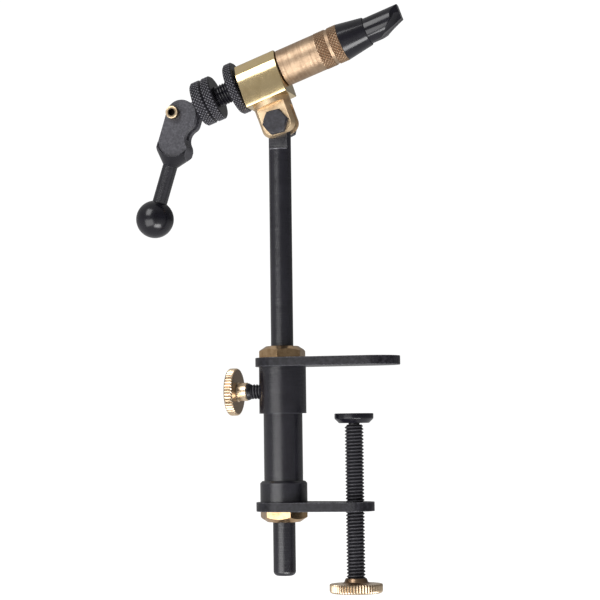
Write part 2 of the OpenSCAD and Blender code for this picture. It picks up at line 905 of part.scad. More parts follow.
module jam_ring() {
    color(black_oxide)
        on_axis()
            translate([0, 0, jam_rear])
                difference() {
                    broken_ring(ring_diameter / 2, jam_width, ring_break);
                    translate([0, 0, -overlap])
                        cylinder(d = tail_diameter + 2 * running_clearance, h = jam_width + 2 * overlap);
                }
}

module adjusting_ring() {
    color(black_oxide)
        on_axis()
            difference() {
                union() {
                    translate([0, 0, adjust_rear])
                        broken_ring(ring_diameter / 2, adjust_width, ring_break);
                    translate([0, 0, thrust_face])
                        cylinder(d = thrust_hub_diameter, h = thrust_hub_height + overlap);
                }
                translate([0, 0, adjust_rear])
                    cylinder(d = tail_diameter + 2 * running_clearance, h = adjust_width + overlap);
                translate([0, 0, thrust_face - overlap])
                    cylinder(d = tail_bore, h = thrust_hub_height + 2 * overlap);
            }
}

module jaw_collet() {
    flat = jaw_hollow_width / 2;
    cut_start = mouth + jaw_cut_start;
    bevel_start = mouth + jaw_bevel_start;
    bevel_angle = atan((jaw_radius - jaw_tip_thickness / 2) / (tip - bevel_start));
    reach = 3 * jaw_length;
    color(tool_steel)
        on_axis()
            difference() {
                rotate_extrude()
                    polygon([
                        [0, shank_end],
                        [shank_radius, shank_end],
                        [shank_radius, taper_rear],
                        [jaw_radius, mouth],
                        [jaw_radius, tip],
                        [0, tip]
                    ]);
                translate([0, 0, shank_end - overlap])
                    cylinder(d = rod_diameter + 2 * fit_clearance, h = rod_socket + overlap);
                translate([-2 * jaw_radius, -jaw_split / 2, shank_end + shank_solid])
                    cube([4 * jaw_radius, jaw_split, tip - shank_end]);
                translate([jaw_radius, 0, cut_start])
                    rotate([0, -jaw_cut_angle, 0])
                        translate([0, -reach / 2, 0])
                            cube([reach, reach, reach]);
                for (side = [-1, 1])
                    translate([0, side * jaw_radius, bevel_start])
                        rotate([side * bevel_angle, 0, 0])
                            translate([-reach / 2, side > 0 ? 0 : -reach, 0])
                                cube([reach, reach, reach]);
                for (side = [-1, 1])
                    translate([0, 0, mouth + jaw_hollow_start])
                        rotate([0, jaw_hollow_angle, 0]) {
                            translate([-reach / 2, side > 0 ? flat : -flat - reach, jaw_hollow_radius])
                                cube(reach);
                            translate([-reach / 2, side > 0 ? flat + jaw_hollow_radius : -flat - jaw_hollow_radius - reach, 0])
                                cube(reach);
                            translate([-reach / 2, side * (flat + jaw_hollow_radius), jaw_hollow_radius])
                                rotate([0, 90, 0])
                                    cylinder(r = jaw_hollow_radius, h = reach);
                        }
            }
}

module draw_rod() {
    eye_length = tongue_front - pin_place + eye_radius + overlap;
    color(tool_steel)
        difference() {
            union() {
                on_axis()
                    translate([0, 0, tongue_front])
                        cylinder(d = rod_diameter, h = rod_front - tongue_front);
                intersection() {
                    union() {
                        on_axis()
                            translate([0, 0, pin_place])
                                cylinder(d = rod_diameter, h = tongue_front - pin_place + overlap);
                        in_lever()
                            rotate([90, 0, 0])
                                cylinder(r = eye_radius, h = tongue_thickness, center = true);
                    }
                    in_head()
                        translate([pin_place - eye_radius, -tongue_thickness / 2, axis_height - eye_radius])
                            cube([eye_length, tongue_thickness, 2 * eye_radius]);
                }
            }
            in_lever()
                rotate([90, 0, 0])
                    cylinder(
                        d = pin_diameter + 2 * running_clearance,
                        h = 2 * tongue_thickness,
                        center = true
                    );
        }
}

// Points of one ring of the spring's wire at turn angle a
function spring_ring(a) = [
    for (i = [0 : spring_sides - 1])
        let (w = 360 * i / spring_sides)
        let (r = spring_radius + spring_wire / 2 * cos(w))
        [
            r * cos(a),
            r * sin(a),
            spring_start + spring_length * a / (360 * spring_turns) + spring_wire / 2 * sin(w)
        ]
];

module return_spring() {
    rings = spring_turns * spring_steps;
    last = rings * spring_sides;
    points = [
        for (k = [0 : rings])
            for (point = spring_ring(360 * k / spring_steps))
                point
    ];
    sides = [
        for (k = [0 : rings - 1])
            for (i = [0 : spring_sides - 1])
                let (j = (i + 1) % spring_sides)
                let (low = k * spring_sides)
                let (high = low + spring_sides)
                for (corner = [[low + i, high + i, high + j], [low + i, high + j, low + j]])
                    corner
    ];
    ends = [
        for (i = [1 : spring_sides - 2])
            for (corner = [[0, i, i + 1], [last, last + i + 1, last + i]])
                corner
    ];
    color(spring_steel)
        on_axis()
            polyhedron(points, concat(sides, ends));
}

// Outline of the lever's head, x forward, y along the lever, origin on the pin
module cam_outline() {
    offset(r = relief_round)
        offset(delta = -relief_round)
            difference() {
                translate([cam_throw, 0])
                    union() {
                        circle(r = cam_radius);
                        translate([-cam_radius, -lever_head_length - relief_round])
                            square([2 * cam_radius, lever_head_length + relief_round]);
                    }
                translate([cam_throw + cam_radius + relief_radius - relief_depth, -relief_drop])
                    circle(r = relief_radius);
            }
}

// The turned bar that the lever's head is milled from, its taper ending at the rod
module lever_bar() {
    rod = lever_rod_diameter / 2;
    bar_taper = (bar_radius - rod) / tan(lever_taper);
    translate([cam_throw, 0, -lever_head_length])
        rotate_extrude()
            polygon([
                [0, 0],
                [rod, 0],
                [bar_radius, bar_taper],
                [bar_radius, lever_head_length + 2 * cam_radius],
                [0, lever_head_length + 2 * cam_radius]
            ]);
}

// What is milled off both sides of that bar, down to the round ends of the flats
module lever_flats() {
    end = flat_end + flat_end_radius - lever_head_length;
    for (side = [-1, 1])
        translate([cam_throw, side * (cam_thickness / 2 + bar_radius), 0])
            rotate([90, 0, 0])
                linear_extrude(2 * bar_radius, center = true)
                    union() {
                        translate([0, end])
                            circle(r = flat_end_radius);
                        translate([-flat_end_radius, end])
                            square([2 * flat_end_radius, lever_head_length + 2 * cam_radius]);
                    }
}

module cam_lever() {
    color(black_steel)
        in_lever()
            difference() {
                intersection() {
                    rotate([90, 0, 0])
                        linear_extrude(2 * bar_radius, center = true)
                            cam_outline();
                    lever_bar();
                }
                lever_flats();
                translate([cam_throw - 2 * cam_radius, -lever_slot / 2, -slot_depth])
                    cube([4 * cam_radius, lever_slot, slot_depth + 2 * cam_radius]);
                rotate([90, 0, 0])
                    cylinder(d = pin_diameter + 2 * fit_clearance, h = 2 * cam_thickness, center = true);
                translate([cam_throw, 0, -lever_head_length - overlap])
                    cylinder(d = rod_thread + 2 * fit_clearance, h = rod_thread_length + overlap);
            }
}

module cam_pin() {
    color(brass)
        in_lever()
            rotate([90, 0, 0])
                difference() {
                    union() {
                        translate([0, 0, -cam_thickness / 2])
                            cylinder(d = pin_diameter, h = cam_thickness);
                        translate([0, 0, cam_thickness / 2])
                            cylinder(d = pin_head_diameter, h = pin_head_height);
                    }
                    translate([0, 0, cam_thickness / 2 + pin_head_height - pin_socket_depth])
                        cylinder(r = pin_socket / sqrt(3), h = pin_socket_depth + overlap, $fn = 6);
                }
}

module lever_rod() {
    plain_length = rod_end - lever_head_length;
    thread_length = rod_thread_length - free_clearance;
    color(black_steel)
        in_lever()
            translate([cam_throw, 0, 0])
                rotate([180, 0, 0]) {
                    translate([0, 0, lever_head_length])
                        cylinder(d = lever_rod_diameter, h = plain_length);
                    translate([0, 0, lever_head_length - thread_length])
                        cylinder(d = rod_thread, h = plain_length + 2 * thread_length);
                }
}

module lever_ball() {
    seat = rod_end - ball_distance;
    color(black_steel)
        in_lever()
            translate([cam_throw, 0, -ball_distance])
                rotate([180, 0, 0])
                    difference() {
                        sphere(d = ball_diameter);
                        translate([0, 0, -ball_diameter])
                            cylinder(d = lever_rod_diameter + 2 * fit_clearance, h = ball_diameter + seat);
                        translate([0, 0, -ball_diameter])
                            cylinder(
                                d = rod_thread + 2 * fit_clearance,
                                h = ball_diameter + seat + rod_thread_length
                            );
                    }
}

clamp_column();
upper_arm();
lower_arm();
upper_column_nut();
lower_column_nut();
clamp_pad();
clamp_screw();
clamp_knob();
lock_shoe();
lock_screw();
lock_knob();
stem();
head_block();
tilt_clevis();
pivot_bolt();
pivot_nut();
collet_sleeve();
barrel_grip();
tension_ring();
jam_ring();
adjusting_ring();
jaw_collet();
draw_rod();
return_spring();
cam_lever();
cam_pin();
lever_rod();
lever_ball();
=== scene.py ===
# Fly tying vise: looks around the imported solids
import math

import bmesh
import bpy
from mathutils import Matrix, Vector


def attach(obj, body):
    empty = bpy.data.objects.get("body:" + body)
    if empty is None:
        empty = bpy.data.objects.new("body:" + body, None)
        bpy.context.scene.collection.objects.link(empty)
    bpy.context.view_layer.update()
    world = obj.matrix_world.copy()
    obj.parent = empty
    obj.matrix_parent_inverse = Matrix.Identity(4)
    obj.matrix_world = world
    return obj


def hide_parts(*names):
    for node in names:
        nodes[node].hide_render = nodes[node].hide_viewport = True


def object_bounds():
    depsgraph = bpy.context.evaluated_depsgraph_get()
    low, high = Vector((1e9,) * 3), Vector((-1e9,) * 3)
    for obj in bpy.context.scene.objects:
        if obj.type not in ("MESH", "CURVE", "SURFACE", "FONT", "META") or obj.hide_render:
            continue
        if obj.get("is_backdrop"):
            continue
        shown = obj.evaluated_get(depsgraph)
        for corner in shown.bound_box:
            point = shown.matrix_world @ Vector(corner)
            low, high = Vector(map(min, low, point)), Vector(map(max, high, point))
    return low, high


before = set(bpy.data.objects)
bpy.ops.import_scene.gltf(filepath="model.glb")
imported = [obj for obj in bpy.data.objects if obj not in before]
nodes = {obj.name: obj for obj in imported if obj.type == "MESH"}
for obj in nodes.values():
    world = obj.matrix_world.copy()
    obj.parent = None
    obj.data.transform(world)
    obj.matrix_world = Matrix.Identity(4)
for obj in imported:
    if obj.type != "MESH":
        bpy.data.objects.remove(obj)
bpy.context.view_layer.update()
mm = 0.001
print("frame loaded:", len(nodes), "solids")


def turn(degrees, axis):
    return Matrix.Rotation(math.radians(degrees), 4, axis)


# where the pieces' axes lie, in millimetres and degrees, as in the solids
places = {
    "screwReach": 31.0,
    "lockDepth": 10.4,
    "pivotHeight": 104.0,
    "headTilt": 20.0,
    "axisHeight": 21.9,
    "barrelShift": -0.25,
    "pinPlace": -41.201,
    "leverAngle": 37.4,
    "camThrow": 3.4,
}
upright = Matrix.Identity(4)
onScrew = Matrix.Translation((places["screwReach"], 0, 0))
onLock = Matrix.Translation((0, 0, -places["lockDepth"])) @ turn(-90, "Y")  # z out from the post
inHead = Matrix.Translation((0, 0, places["pivotHeight"])) @ turn(-places["headTilt"], "Y")
inBlock = inHead @ Matrix.Translation((places["barrelShift"], 0, places["axisHeight"]))
onBarrel = inBlock @ turn(90, "Y")  # z towards the jaws
inLever = inHead @ Matrix.Translation((places["pinPlace"], 0, places["axisHeight"])) @ turn(places["leverAngle"], "Y")
onLever = inLever @ Matrix.Translation((places["camThrow"], 0, 0)) @ turn(180, "X")  # z towards the ball


# camera, fitted to the photograph's verticals and ellipses
camera = {
    "at": (0.23469, -0.81701, -0.02693),
    "azimuth": 15.5,
    "pitch": 3.719,
    "roll": 0.7,
    "lens": 120.0,
    "sensor": 36.0,
    "clip": (0.01, 50),
}
camData = bpy.data.cameras.new("photoCamera")
camData.lens, camData.sensor_width = camera["lens"], camera["sensor"]
camData.clip_start, camData.clip_end = camera["clip"]
cam = bpy.data.objects.new("photoCamera", camData)
bpy.context.scene.collection.objects.link(cam)
camTurn = turn(camera["azimuth"], "Z") @ turn(90 + camera["pitch"], "X") @ turn(-camera["roll"], "Z")
cam.matrix_world = Matrix.Translation(camera["at"]) @ camTurn
bpy.context.scene.camera = cam
bpy.context.scene.view_settings.view_transform = "Standard"
print("camera set")


def colour(code):
    # an sRGB code as linear light
    shares = [int(code[i : i + 2], 16) / 255 for i in (1, 3, 5)]
    return [s / 12.92 if s <= 0.04045 else ((s + 0.055) / 1.055) ** 2.4 for s in shares] + [1.0]


def addNode(tree, kind, values=None, links=None, **settings):
    node = tree.nodes.new(kind)
    for name, value in settings.items():
        setattr(node, name, value)
    for socket, value in (values or {}).items():
        node.inputs[socket].default_value = value
    for socket, source in (links or {}).items():
        tree.links.new(source, node.inputs[socket])
    return node


def startFinish(name):
    material = bpy.data.materials.new(name)
    material.use_nodes = True
    tree = material.node_tree
    tree.nodes.clear()
    shader = addNode(tree, "ShaderNodeBsdfPrincipled")
    addNode(tree, "ShaderNodeOutputMaterial", links={"Surface": shader.outputs[0]})
    return material, tree, shader


def edgeMask(tree, width):
    # 0 on flats, rising to 1 over an edge
    flat = addNode(tree, "ShaderNodeNewGeometry").outputs["Normal"]
    rounded = addNode(tree, "ShaderNodeBevel", {"Radius": width * mm}, samples=6).outputs[0]
    same = addNode(tree, "ShaderNodeVectorMath", links={0: flat, 1: rounded}, operation="DOT_PRODUCT")
    return addNode(
        tree,
        "ShaderNodeMapRange",
        {"From Min": 0.998, "From Max": 0.93},
        {"Value": same.outputs["Value"]},
    ).outputs[0]


# height of each relief as a share of its pattern's size
heights = {"grit": 0.3, "mark": 0.4, "wave": 0.1}


def blackFinish(look):
    material, tree, shader = startFinish(look["name"])
    coords = addNode(tree, "ShaderNodeTexCoord").outputs["Object"]
    # grit, stretched into lathe marks in the piece's own direction
    angles = [math.radians(angle) for angle in look.get("turned", (0, 0, 0))]
    lay = addNode(
        tree,
        "ShaderNodeMapping",
        {"Rotation": angles, "Scale": look.get("stretch", (1, 1, 1))},
        {"Vector": coords},
        vector_type="TEXTURE",
    ).outputs[0]
    grit = addNode(
        tree,
        "ShaderNodeTexNoise",
        {"Scale": 1 / (look["grit"] * mm), "Detail": 3, "Roughness": 0.6},
        {"Vector": lay},
    ).outputs["Fac"]
    cloud = addNode(
        tree,
        "ShaderNodeTexNoise",
        {"Scale": 1 / (look["cloud"] * mm), "Detail": 4, "Roughness": 0.55},
        {"Vector": coords},
    ).outputs["Fac"]
    mottle = addNode(
        tree,
        "ShaderNodeMapRange",
        {"From Min": 0.4, "From Max": 0.68},
        {"Value": cloud},
    ).outputs[0]
    base = addNode(
        tree,
        "ShaderNodeMix",
        {6: colour(look["dark"]), 7: colour(look["light"])},
        {0: mottle},
        data_type="RGBA",
    ).outputs[2]
    # worn in patches along the edges, and on the crests; on the post the crest mark paints a highlight along the ledge
    patchy = addNode(
        tree,
        "ShaderNodeMapRange",
        {"From Min": 0.42, "From Max": 0.6, "To Max": look["edgeWear"]},
        {"Value": grit},
    ).outputs[0]
    rubbed = addNode(
        tree,
        "ShaderNodeMath",
        links={0: edgeMask(tree, look["edge"]), 1: patchy},
        operation="MULTIPLY",
    ).outputs[0]
    crest = addNode(tree, "ShaderNodeAttribute", attribute_name="crest").outputs["Fac"]
    tips = addNode(
        tree,
        "ShaderNodeMapRange",
        {"From Min": 0.35, "From Max": 1.0, "To Max": look["crestWear"]},
        {"Value": crest},
    ).outputs[0]
    wear = addNode(tree, "ShaderNodeMath", links={0: rubbed, 1: tips}, operation="MAXIMUM").outputs[0]
    worn = addNode(
        tree,
        "ShaderNodeMix",
        {7: colour(look["worn"])},
        {0: wear, 6: base},
        data_type="RGBA",
    ).outputs[2]
    rough = addNode(
        tree,
        "ShaderNodeMapRange",
        {"From Min": 0.3, "From Max": 0.7, "To Min": look["rough"][0], "To Max": look["rough"][1]},
        {"Value": cloud},
    ).outputs[0]
    bump = addNode(
        tree,
        "ShaderNodeBump",
        {"Strength": look["bump"], "Distance": look["grit"] * mm * heights["grit"]},
        {"Height": grit},
    ).outputs[0]
    shader.inputs["Metallic"].default_value = look["metal"]
    shader.inputs["Specular IOR Level"].default_value = look["specular"]
    tree.links.new(worn, shader.inputs["Base Color"])
    tree.links.new(rough, shader.inputs["Roughness"])
    tree.links.new(bump, shader.inputs["Normal"])
    return material


def brassFinish(look):
    material, tree, shader = startFinish(look["name"])
    coords = addNode(tree, "ShaderNodeTexCoord").outputs["Object"]
    # tool marks: noise stretched along them, in the piece's own direction
    angles = [math.radians(angle) for angle in look.get("turned", (0, 0, 0))]
    lay = addNode(
        tree,
        "ShaderNodeMapping",
        {"Rotation": angles, "Scale": look.get("stretch", (1, 1, 1))},
        {"Vector": coords},
        vector_type="TEXTURE",
    ).outputs[0]
    marks = addNode(
        tree,
        "ShaderNodeTexNoise",
        {"Scale": 1 / (look["mark"] * mm), "Detail": 3, "Roughness": 0.65},
        {"Vector": lay},
    ).outputs["Fac"]
    cloud = addNode(
        tree,
        "ShaderNodeTexNoise",
        {"Scale": 1 / (look["cloud"] * mm), "Detail": 4, "Roughness": 0.6},
        {"Vector": coords},
    ).outputs["Fac"]
    # the marks hold some of the tarnish
    lines = look.get("lines", 0.0)
    patches = addNode(tree, "ShaderNodeMath", {1: lines}, {0: marks, 2: cloud}, operation="MULTIPLY_ADD").outputs[0]
    tarnish = addNode(
        tree,
        "ShaderNodeMapRange",
        {"From Min": 0.42 + 0.5 * lines, "From Max": 0.7 + 0.5 * lines, "To Max": look["tarnish"]},
        {"Value": patches},
    ).outputs[0]
    shade = addNode(
        tree,
        "ShaderNodeMix",
        {6: colour(look["clean"]), 7: colour(look["dull"])},
        {0: tarnish},
        data_type="RGBA",
    ).outputs[2]
    if "valley" in look:
        crest = addNode(tree, "ShaderNodeAttribute", attribute_name="crest").outputs["Fac"]
        rise = addNode(
            tree,
            "ShaderNodeMapRange",
            {"From Min": 0.05, "From Max": look["valleyTop"]},
            {"Value": crest},
        ).outputs[0]
        shade = addNode(
            tree,
            "ShaderNodeMix",
            {6: colour(look["valley"])},
            {0: rise, 7: shade},
            data_type="RGBA",
        ).outputs[2]
    rough = addNode(
        tree,
        "ShaderNodeMapRange",
        {"From Min": 0.3, "From Max": 0.7, "To Min": look["rough"][0], "To Max": look["rough"][1]},
        {"Value": marks},
    ).outputs[0]
    bump = addNode(
        tree,
        "ShaderNodeBump",
        {"Strength": look["bump"], "Distance": look["mark"] * mm * heights["mark"]},
        {"Height": marks},
    ).outputs[0]
    if "wave" in look:
        # hand polishing leaves the face a little uneven, so reflections waver
        swell = addNode(
            tree,
            "ShaderNodeTexNoise",
            {"Scale": 1 / (look["wave"] * mm), "Detail": 1},
            {"Vector": coords},
        ).outputs["Fac"]
        bump = addNode(
            tree,
            "ShaderNodeBump",
            {"Strength": look["waveBump"], "Distance": look["wave"] * mm * heights["wave"]},
            {"Height": swell, "Normal": bump},
        ).outputs[0]
    shader.inputs["Metallic"].default_value = 1.0
    tree.links.new(shade, shader.inputs["Base Color"])
    tree.links.new(rough, shader.inputs["Roughness"])
    tree.links.new(bump, shader.inputs["Normal"])
    return material


# looks: lengths in millimetres, marks turned with the head or the lever
# grit and marks are drawn 0.3 to 0.8 mm across, coarser than real ones, so that they show
headTurn = (0, -places["headTilt"], 0)
leverTurn = (0, places["leverAngle"] - places["headTilt"], 0)

# satin black lacquer over lathe marks: deep black, the marks draw the highlight out along the post
turnedBlack = blackFinish({
    "name": "satin_black_turned_steel", "dark": "#0e0d14", "light": "#14131b", "worn": "#6c6b72",
    "grit": 0.3, "stretch": (30, 30, 1), "cloud": 6.0, "rough": (0.22, 0.27), "bump": 0.9,
    "metal": 0.0, "specular": 0.8, "edge": 0.35, "edgeWear": 0.45, "crestWear": 1.0,
})
# the same on the lever's rod, with the marks round its own axis
rodBlack = blackFinish({
    "name": "satin_black_turned_rod", "dark": "#0e0d14", "light": "#14131b", "worn": "#6c6b72",
    "turned": leverTurn, "stretch": (30, 30, 1), "grit": 0.3, "cloud": 6.0, "rough": (0.22, 0.27), "bump": 0.45,
    "metal": 0.0, "specular": 0.9, "edge": 0.35, "edgeWear": 0.45, "crestWear": 0.0,
})
# the same lacquer on a milled flat: coarser, so it looks grey
milledBlack = blackFinish({
    "name": "satin_black_milled_steel", "dark": "#2f2e34", "light": "#49484e", "worn": "#6f6e74",
    "grit": 0.35, "cloud": 0.9, "rough": (0.42, 0.52), "bump": 0.35, "metal": 0.0, "specular": 0.5,
    "edge": 0.35, "edgeWear": 0.5, "crestWear": 0.0,
})
# gloss black enamel: sharper highlights, slight orange peel
glossBlack = blackFinish({
    "name": "gloss_black_enamelled_steel", "dark": "#0b0a10", "light": "#111017", "worn": "#4c4b52",
    "grit": 0.8, "cloud": 5.0, "rough": (0.15, 0.20), "bump": 0.02, "metal": 0.0, "specular": 0.5,
    "edge": 0.3, "edgeWear": 0.45, "crestWear": 0.0,
})
# polished black lacquer on the ball: a clear, round highlight
ballBlack = blackFinish({
    "name": "polished_black_lacquer", "dark": "#0c0b11", "light": "#100f16", "worn": "#4c4b52",
    "grit": 0.8, "cloud": 5.0, "rough": (0.19, 0.23), "bump": 0.02, "metal": 0.0, "specular": 0.5,
    "edge": 0.3, "edgeWear": 0.3, "crestWear": 0.0,
})
# black paint on sheared plate: uneven, rubbed grey along the edges
platePaint = blackFinish({
    "name": "black_painted_steel_plate", "dark": "#0d0c11", "light": "#242329", "worn": "#85848b",
    "grit": 0.5, "cloud": 1.4, "rough": (0.28, 0.42), "bump": 0.35, "metal": 0.0, "specular": 0.38,
    "edge": 0.6, "edgeWear": 0.7, "crestWear": 0.0,
})
# black oxide on cut threads: dull black, the crests barely rubbed
threadOxide = blackFinish({
    "name": "black_oxide_threads", "dark": "#0d0c11", "light": "#1c1b20", "worn": "#77767c",
    "grit": 0.3, "cloud": 1.2, "rough": (0.32, 0.48), "bump": 0.35, "metal": 0.1, "specular": 0.5,
    "edge": 0.25, "edgeWear": 0.35, "crestWear": 0.22,
})
# black oxide on a bolt's rolled head: grey and a little rough
boltOxide = blackFinish({
    "name": "black_oxide_bolt", "dark": "#1f1e23", "light": "#34333a", "worn": "#77767c",
    "grit": 0.3, "cloud": 1.2, "rough": (0.40, 0.52), "bump": 0.4, "metal": 0.1, "specular": 0.5,
    "edge": 0.25, "edgeWear": 0.35, "crestWear": 0.0,
})
# black oxide on knurled steel: dull black with grey metal on the tips
knurledOxide = blackFinish({
    "name": "black_oxide_knurled_steel", "dark": "#121116", "light": "#1d1c22", "worn": "#9a99a0",
    "grit": 0.3, "cloud": 1.6, "rough": (0.22, 0.32), "bump": 0.08, "metal": 0.3, "specular": 0.5,
    "edge": 0.2, "edgeWear": 0.3, "crestWear": 0.95,
})
# ground steel left bare: grey metal with fine marks
bareSteel = brassFinish({
    "name": "bare_ground_steel", "clean": "#9a9aa0", "dull": "#75757a",
    "mark": 0.3, "cloud": 2.0, "tarnish": 0.6, "rough": (0.28, 0.42), "bump": 0.1,
})
# machined brass: warm yellow, fine tool marks
machinedBrass = brassFinish({
    "name": "machined_brass", "clean": "#ecd0a6", "dull": "#c4a075", "stretch": (1, 1, 0.17),
    "mark": 0.35, "cloud": 3.0, "tarnish": 0.7, "rough": (0.22, 0.34), "bump": 0.15,
})
# brass nuts: brown, smooth enough to mirror the dark arms
nutBrass = brassFinish({
    "name": "dull_brass_nut", "clean": "#d6b48b", "dull": "#ab8963", "stretch": (1, 1, 0.17),
    "mark": 0.35, "cloud": 3.0, "tarnish": 0.8, "rough": (0.14, 0.22), "bump": 0.05,
})
# serrated brass: bright ridges, brown where the valleys hold dirt; the same brown is painted as shade on the clamp
# knob's neck and the lock disc's back
serratedBrass = brassFinish({
    "name": "serrated_brass", "clean": "#f6dfbf", "dull": "#d8b897", "valley": "#6b4e37", "valleyTop": 0.5,
    "mark": 0.35, "cloud": 3.0, "tarnish": 0.5, "rough": (0.24, 0.36), "bump": 0.15,
})
# brass screw head: bright ring; the same near-black colours the socket and paints shade on the serrated rim
pinBrass = brassFinish({
    "name": "socket_head_brass", "clean": "#efd6b2", "dull": "#d0ad86", "valley": "#1a1512", "valleyTop": 0.9,
    "mark": 0.3, "cloud": 1.5, "tarnish": 0.5, "rough": (0.24, 0.36), "bump": 0.1,
})
# polished brass: pale yellow mirror with wavering reflections
polishedBrass = brassFinish({
    "name": "polished_brass", "clean": "#ead2a2", "dull": "#d6bb88", "turned": headTurn, "stretch": (6.7, 1, 1),
    "mark": 0.3, "cloud": 4.0, "tarnish": 0.5, "rough": (0.12, 0.19), "bump": 0.04, "wave": 5.0, "waveBump": 0.08,
})
# brushed brass: orange, satin, marks across the flats
satinBrass = brassFinish({
    "name": "brushed_brass", "clean": "#ebd2ae", "dull": "#c9aa84", "turned": headTurn, "stretch": (1, 1, 10),
    "mark": 0.4, "cloud": 3.0, "tarnish": 0.6, "rough": (0.42, 0.56), "bump": 0.12, "lines": 0.5,
})
# lathe-turned brass: pinkish, marks round the barrel, bright knurl tips
turnedBrass = brassFinish({
    "name": "lathe_turned_brass", "clean": "#bca287", "dull": "#957b64", "valley": "#8d6d54", "valleyTop": 0.45,
    "turned": headTurn, "stretch": (1, 25, 25), "mark": 0.7, "cloud": 5.0, "tarnish": 0.8, "lines": 0.6,
    "rough": (0.38, 0.54), "bump": 0.3,
})
print("finishes made")


# meshes are made in millimetres
near = 0.01  # for finding the points on a radius or a level
merge = {"turned": 1e-4, "thread": 1e-3, "solid": 2e-3}  # points closer than this become one
flatAngle = 0.5  # degrees, faces closer than this are one flat


def startMesh():
    bm = bmesh.new()
    bm.verts.layers.float.new("crest")
    return bm


def fromAxis(v):
    return math.hypot(v.co.x, v.co.y)


def squeeze(v, share):
    # moves a point towards the z axis
    v.co.x *= share
    v.co.y *= share


def ridgeAt(v, teeth):
    # 1 on a ridge, 0 in the valley between two
    return 0.5 + 0.5 * math.cos(teeth * math.atan2(v.co.y, v.co.x))


def arc(cx, cz, radius, first, last, steps=5):
    angles = [math.radians(first + (last - first) * i / steps) for i in range(steps + 1)]
    return [(cx + radius * math.cos(a), cz + radius * math.sin(a)) for a in angles]


def turned(outline, steps=96, closed=False):
    # spins (radius, z) points round z
    bm = startMesh()
    ring = [bm.verts.new((r, 0, z)) for r, z in outline]
    ends = ring[1:] + ring[:1] if closed else ring[1:]
    edges = [bm.edges.new(pair) for pair in zip(ring, ends)]
    bmesh.ops.spin(
        bm, geom=ring + edges, cent=(0, 0, 0), axis=(0, 0, 1), angle=2 * math.pi, steps=steps, use_merge=True
    )
    bmesh.ops.remove_doubles(bm, verts=bm.verts, dist=merge["turned"])
    bmesh.ops.recalc_face_normals(bm, faces=bm.faces)
    return bm


def band(radius, low, high, rows):
    return [(radius, low + (high - low) * i / rows) for i in range(rows + 1)]


def diamondKnurl(bm, radius, low, high, teeth, rows, depth):
    # every other point of the band goes in, so each quad pair becomes a pyramid's flank
    crest = bm.verts.layers.float["crest"]
    inBand = set()
    for v in bm.verts:
        r = fromAxis(v)
        if abs(r - radius) < near and low - near < v.co.z < high + near:
            across = round(teeth * math.atan2(v.co.y, v.co.x) / math.pi)
            along = round((v.co.z - low) / (high - low) * rows)
            inBand.add(v)
            v[crest] = (across + along) % 2
            if not (across + along) % 2:
                squeeze(v, 1 - depth / r)
    faces = [f for f in bm.faces if all(v in inBand for v in f.verts)]
    bmesh.ops.triangulate(bm, faces=faces, quad_method="SHORT_EDGE")


def serrate(bm, radius, inner, teeth, depth, plain=0.6):
    # straight ridges on the rim, fading out towards the plain face
    crest = bm.verts.layers.float["crest"]
    for v in bm.verts:
        r, ridge = fromAxis(v), ridgeAt(v, teeth)
        share = max(0.0, min(1.0, (r - inner) / (radius - inner)))
        v[crest] = plain + share * (ridge - plain)
        if share > 0:
            squeeze(v, 1 - depth * (1 - ridge) * share / r)


def paintShade(bm, radius, low, high, share):
    # paints shade: darkens what lies within a radius, between two levels
    crest = bm.verts.layers.float["crest"]
    for v in bm.verts:
        if low < v.co.z < high and fromAxis(v) < radius:
            v[crest] = share


def cylinder(radius, depth, steps, where):
    # a plug to cut a hole with, centred on its own z
    bm = bmesh.new()
    bmesh.ops.create_cone(
        bm, cap_ends=True, segments=steps, radius1=radius, radius2=radius, depth=depth, matrix=where
    )
    return bm


def threaded(radius, depth, pitch, low, high, chamfers, steps=36):
    # a right-hand helix of one thread's profile, trimmed flat at both ends
    crestFrom, crestTo = 0.42, 0.58  # shares of the pitch
    spare = 1.5  # pitches below the foot, trimmed off again
    bm = startMesh()
    turns = math.ceil((high - low) / pitch) + 2
    flanks = [(radius - depth, 0), (radius, crestFrom), (radius, crestTo), (radius - depth, 1)]
    ring = [bm.verts.new((r, 0, low + (share - spare) * pitch)) for r, share in flanks]
    edges = [bm.edges.new(pair) for pair in zip(ring, ring[1:])]
    bmesh.ops.spin(
        bm,
        geom=ring + edges,
        cent=(0, 0, 0),
        axis=(0, 0, 1),
        dvec=(0, 0, pitch / steps),
        angle=2 * math.pi * turns,
        steps=steps * turns,
    )
    bmesh.ops.remove_doubles(bm, verts=bm.verts, dist=merge["thread"])
    for level, out in ((low, -1), (high, 1)):
        bmesh.ops.bisect_plane(
            bm,
            geom=bm.verts[:] + bm.edges[:] + bm.faces[:],
            plane_co=(0, 0, level),
            plane_no=(0, 0, out),
            clear_outer=True,
        )
    bmesh.ops.holes_fill(bm, edges=[e for e in bm.edges if e.is_boundary], sides=0)
    crest = bm.verts.layers.float["crest"]
    for v in bm.verts:
        r = fromAxis(v)
        most = min(radius - chamfers[0] + v.co.z - low, radius - chamfers[1] + high - v.co.z)
        v[crest] = max(0.0, (r - radius + depth) / depth)
        if r > most > 0:
            squeeze(v, most / r)
    bmesh.ops.recalc_face_normals(bm, faces=bm.faces)
    return bm


def nodeCopy(name):
    # a solid's own mesh, in millimetres, merged and with its flats made whole
    bm = startMesh()
    bm.from_mesh(nodes[name].data)
    bmesh.ops.scale(bm, vec=(1 / mm,) * 3, verts=bm.verts)
    bmesh.ops.remove_doubles(bm, verts=bm.verts, dist=merge["solid"])
    bmesh.ops.dissolve_limit(bm, angle_limit=math.radians(flatAngle), verts=bm.verts, edges=bm.edges)
    return bm


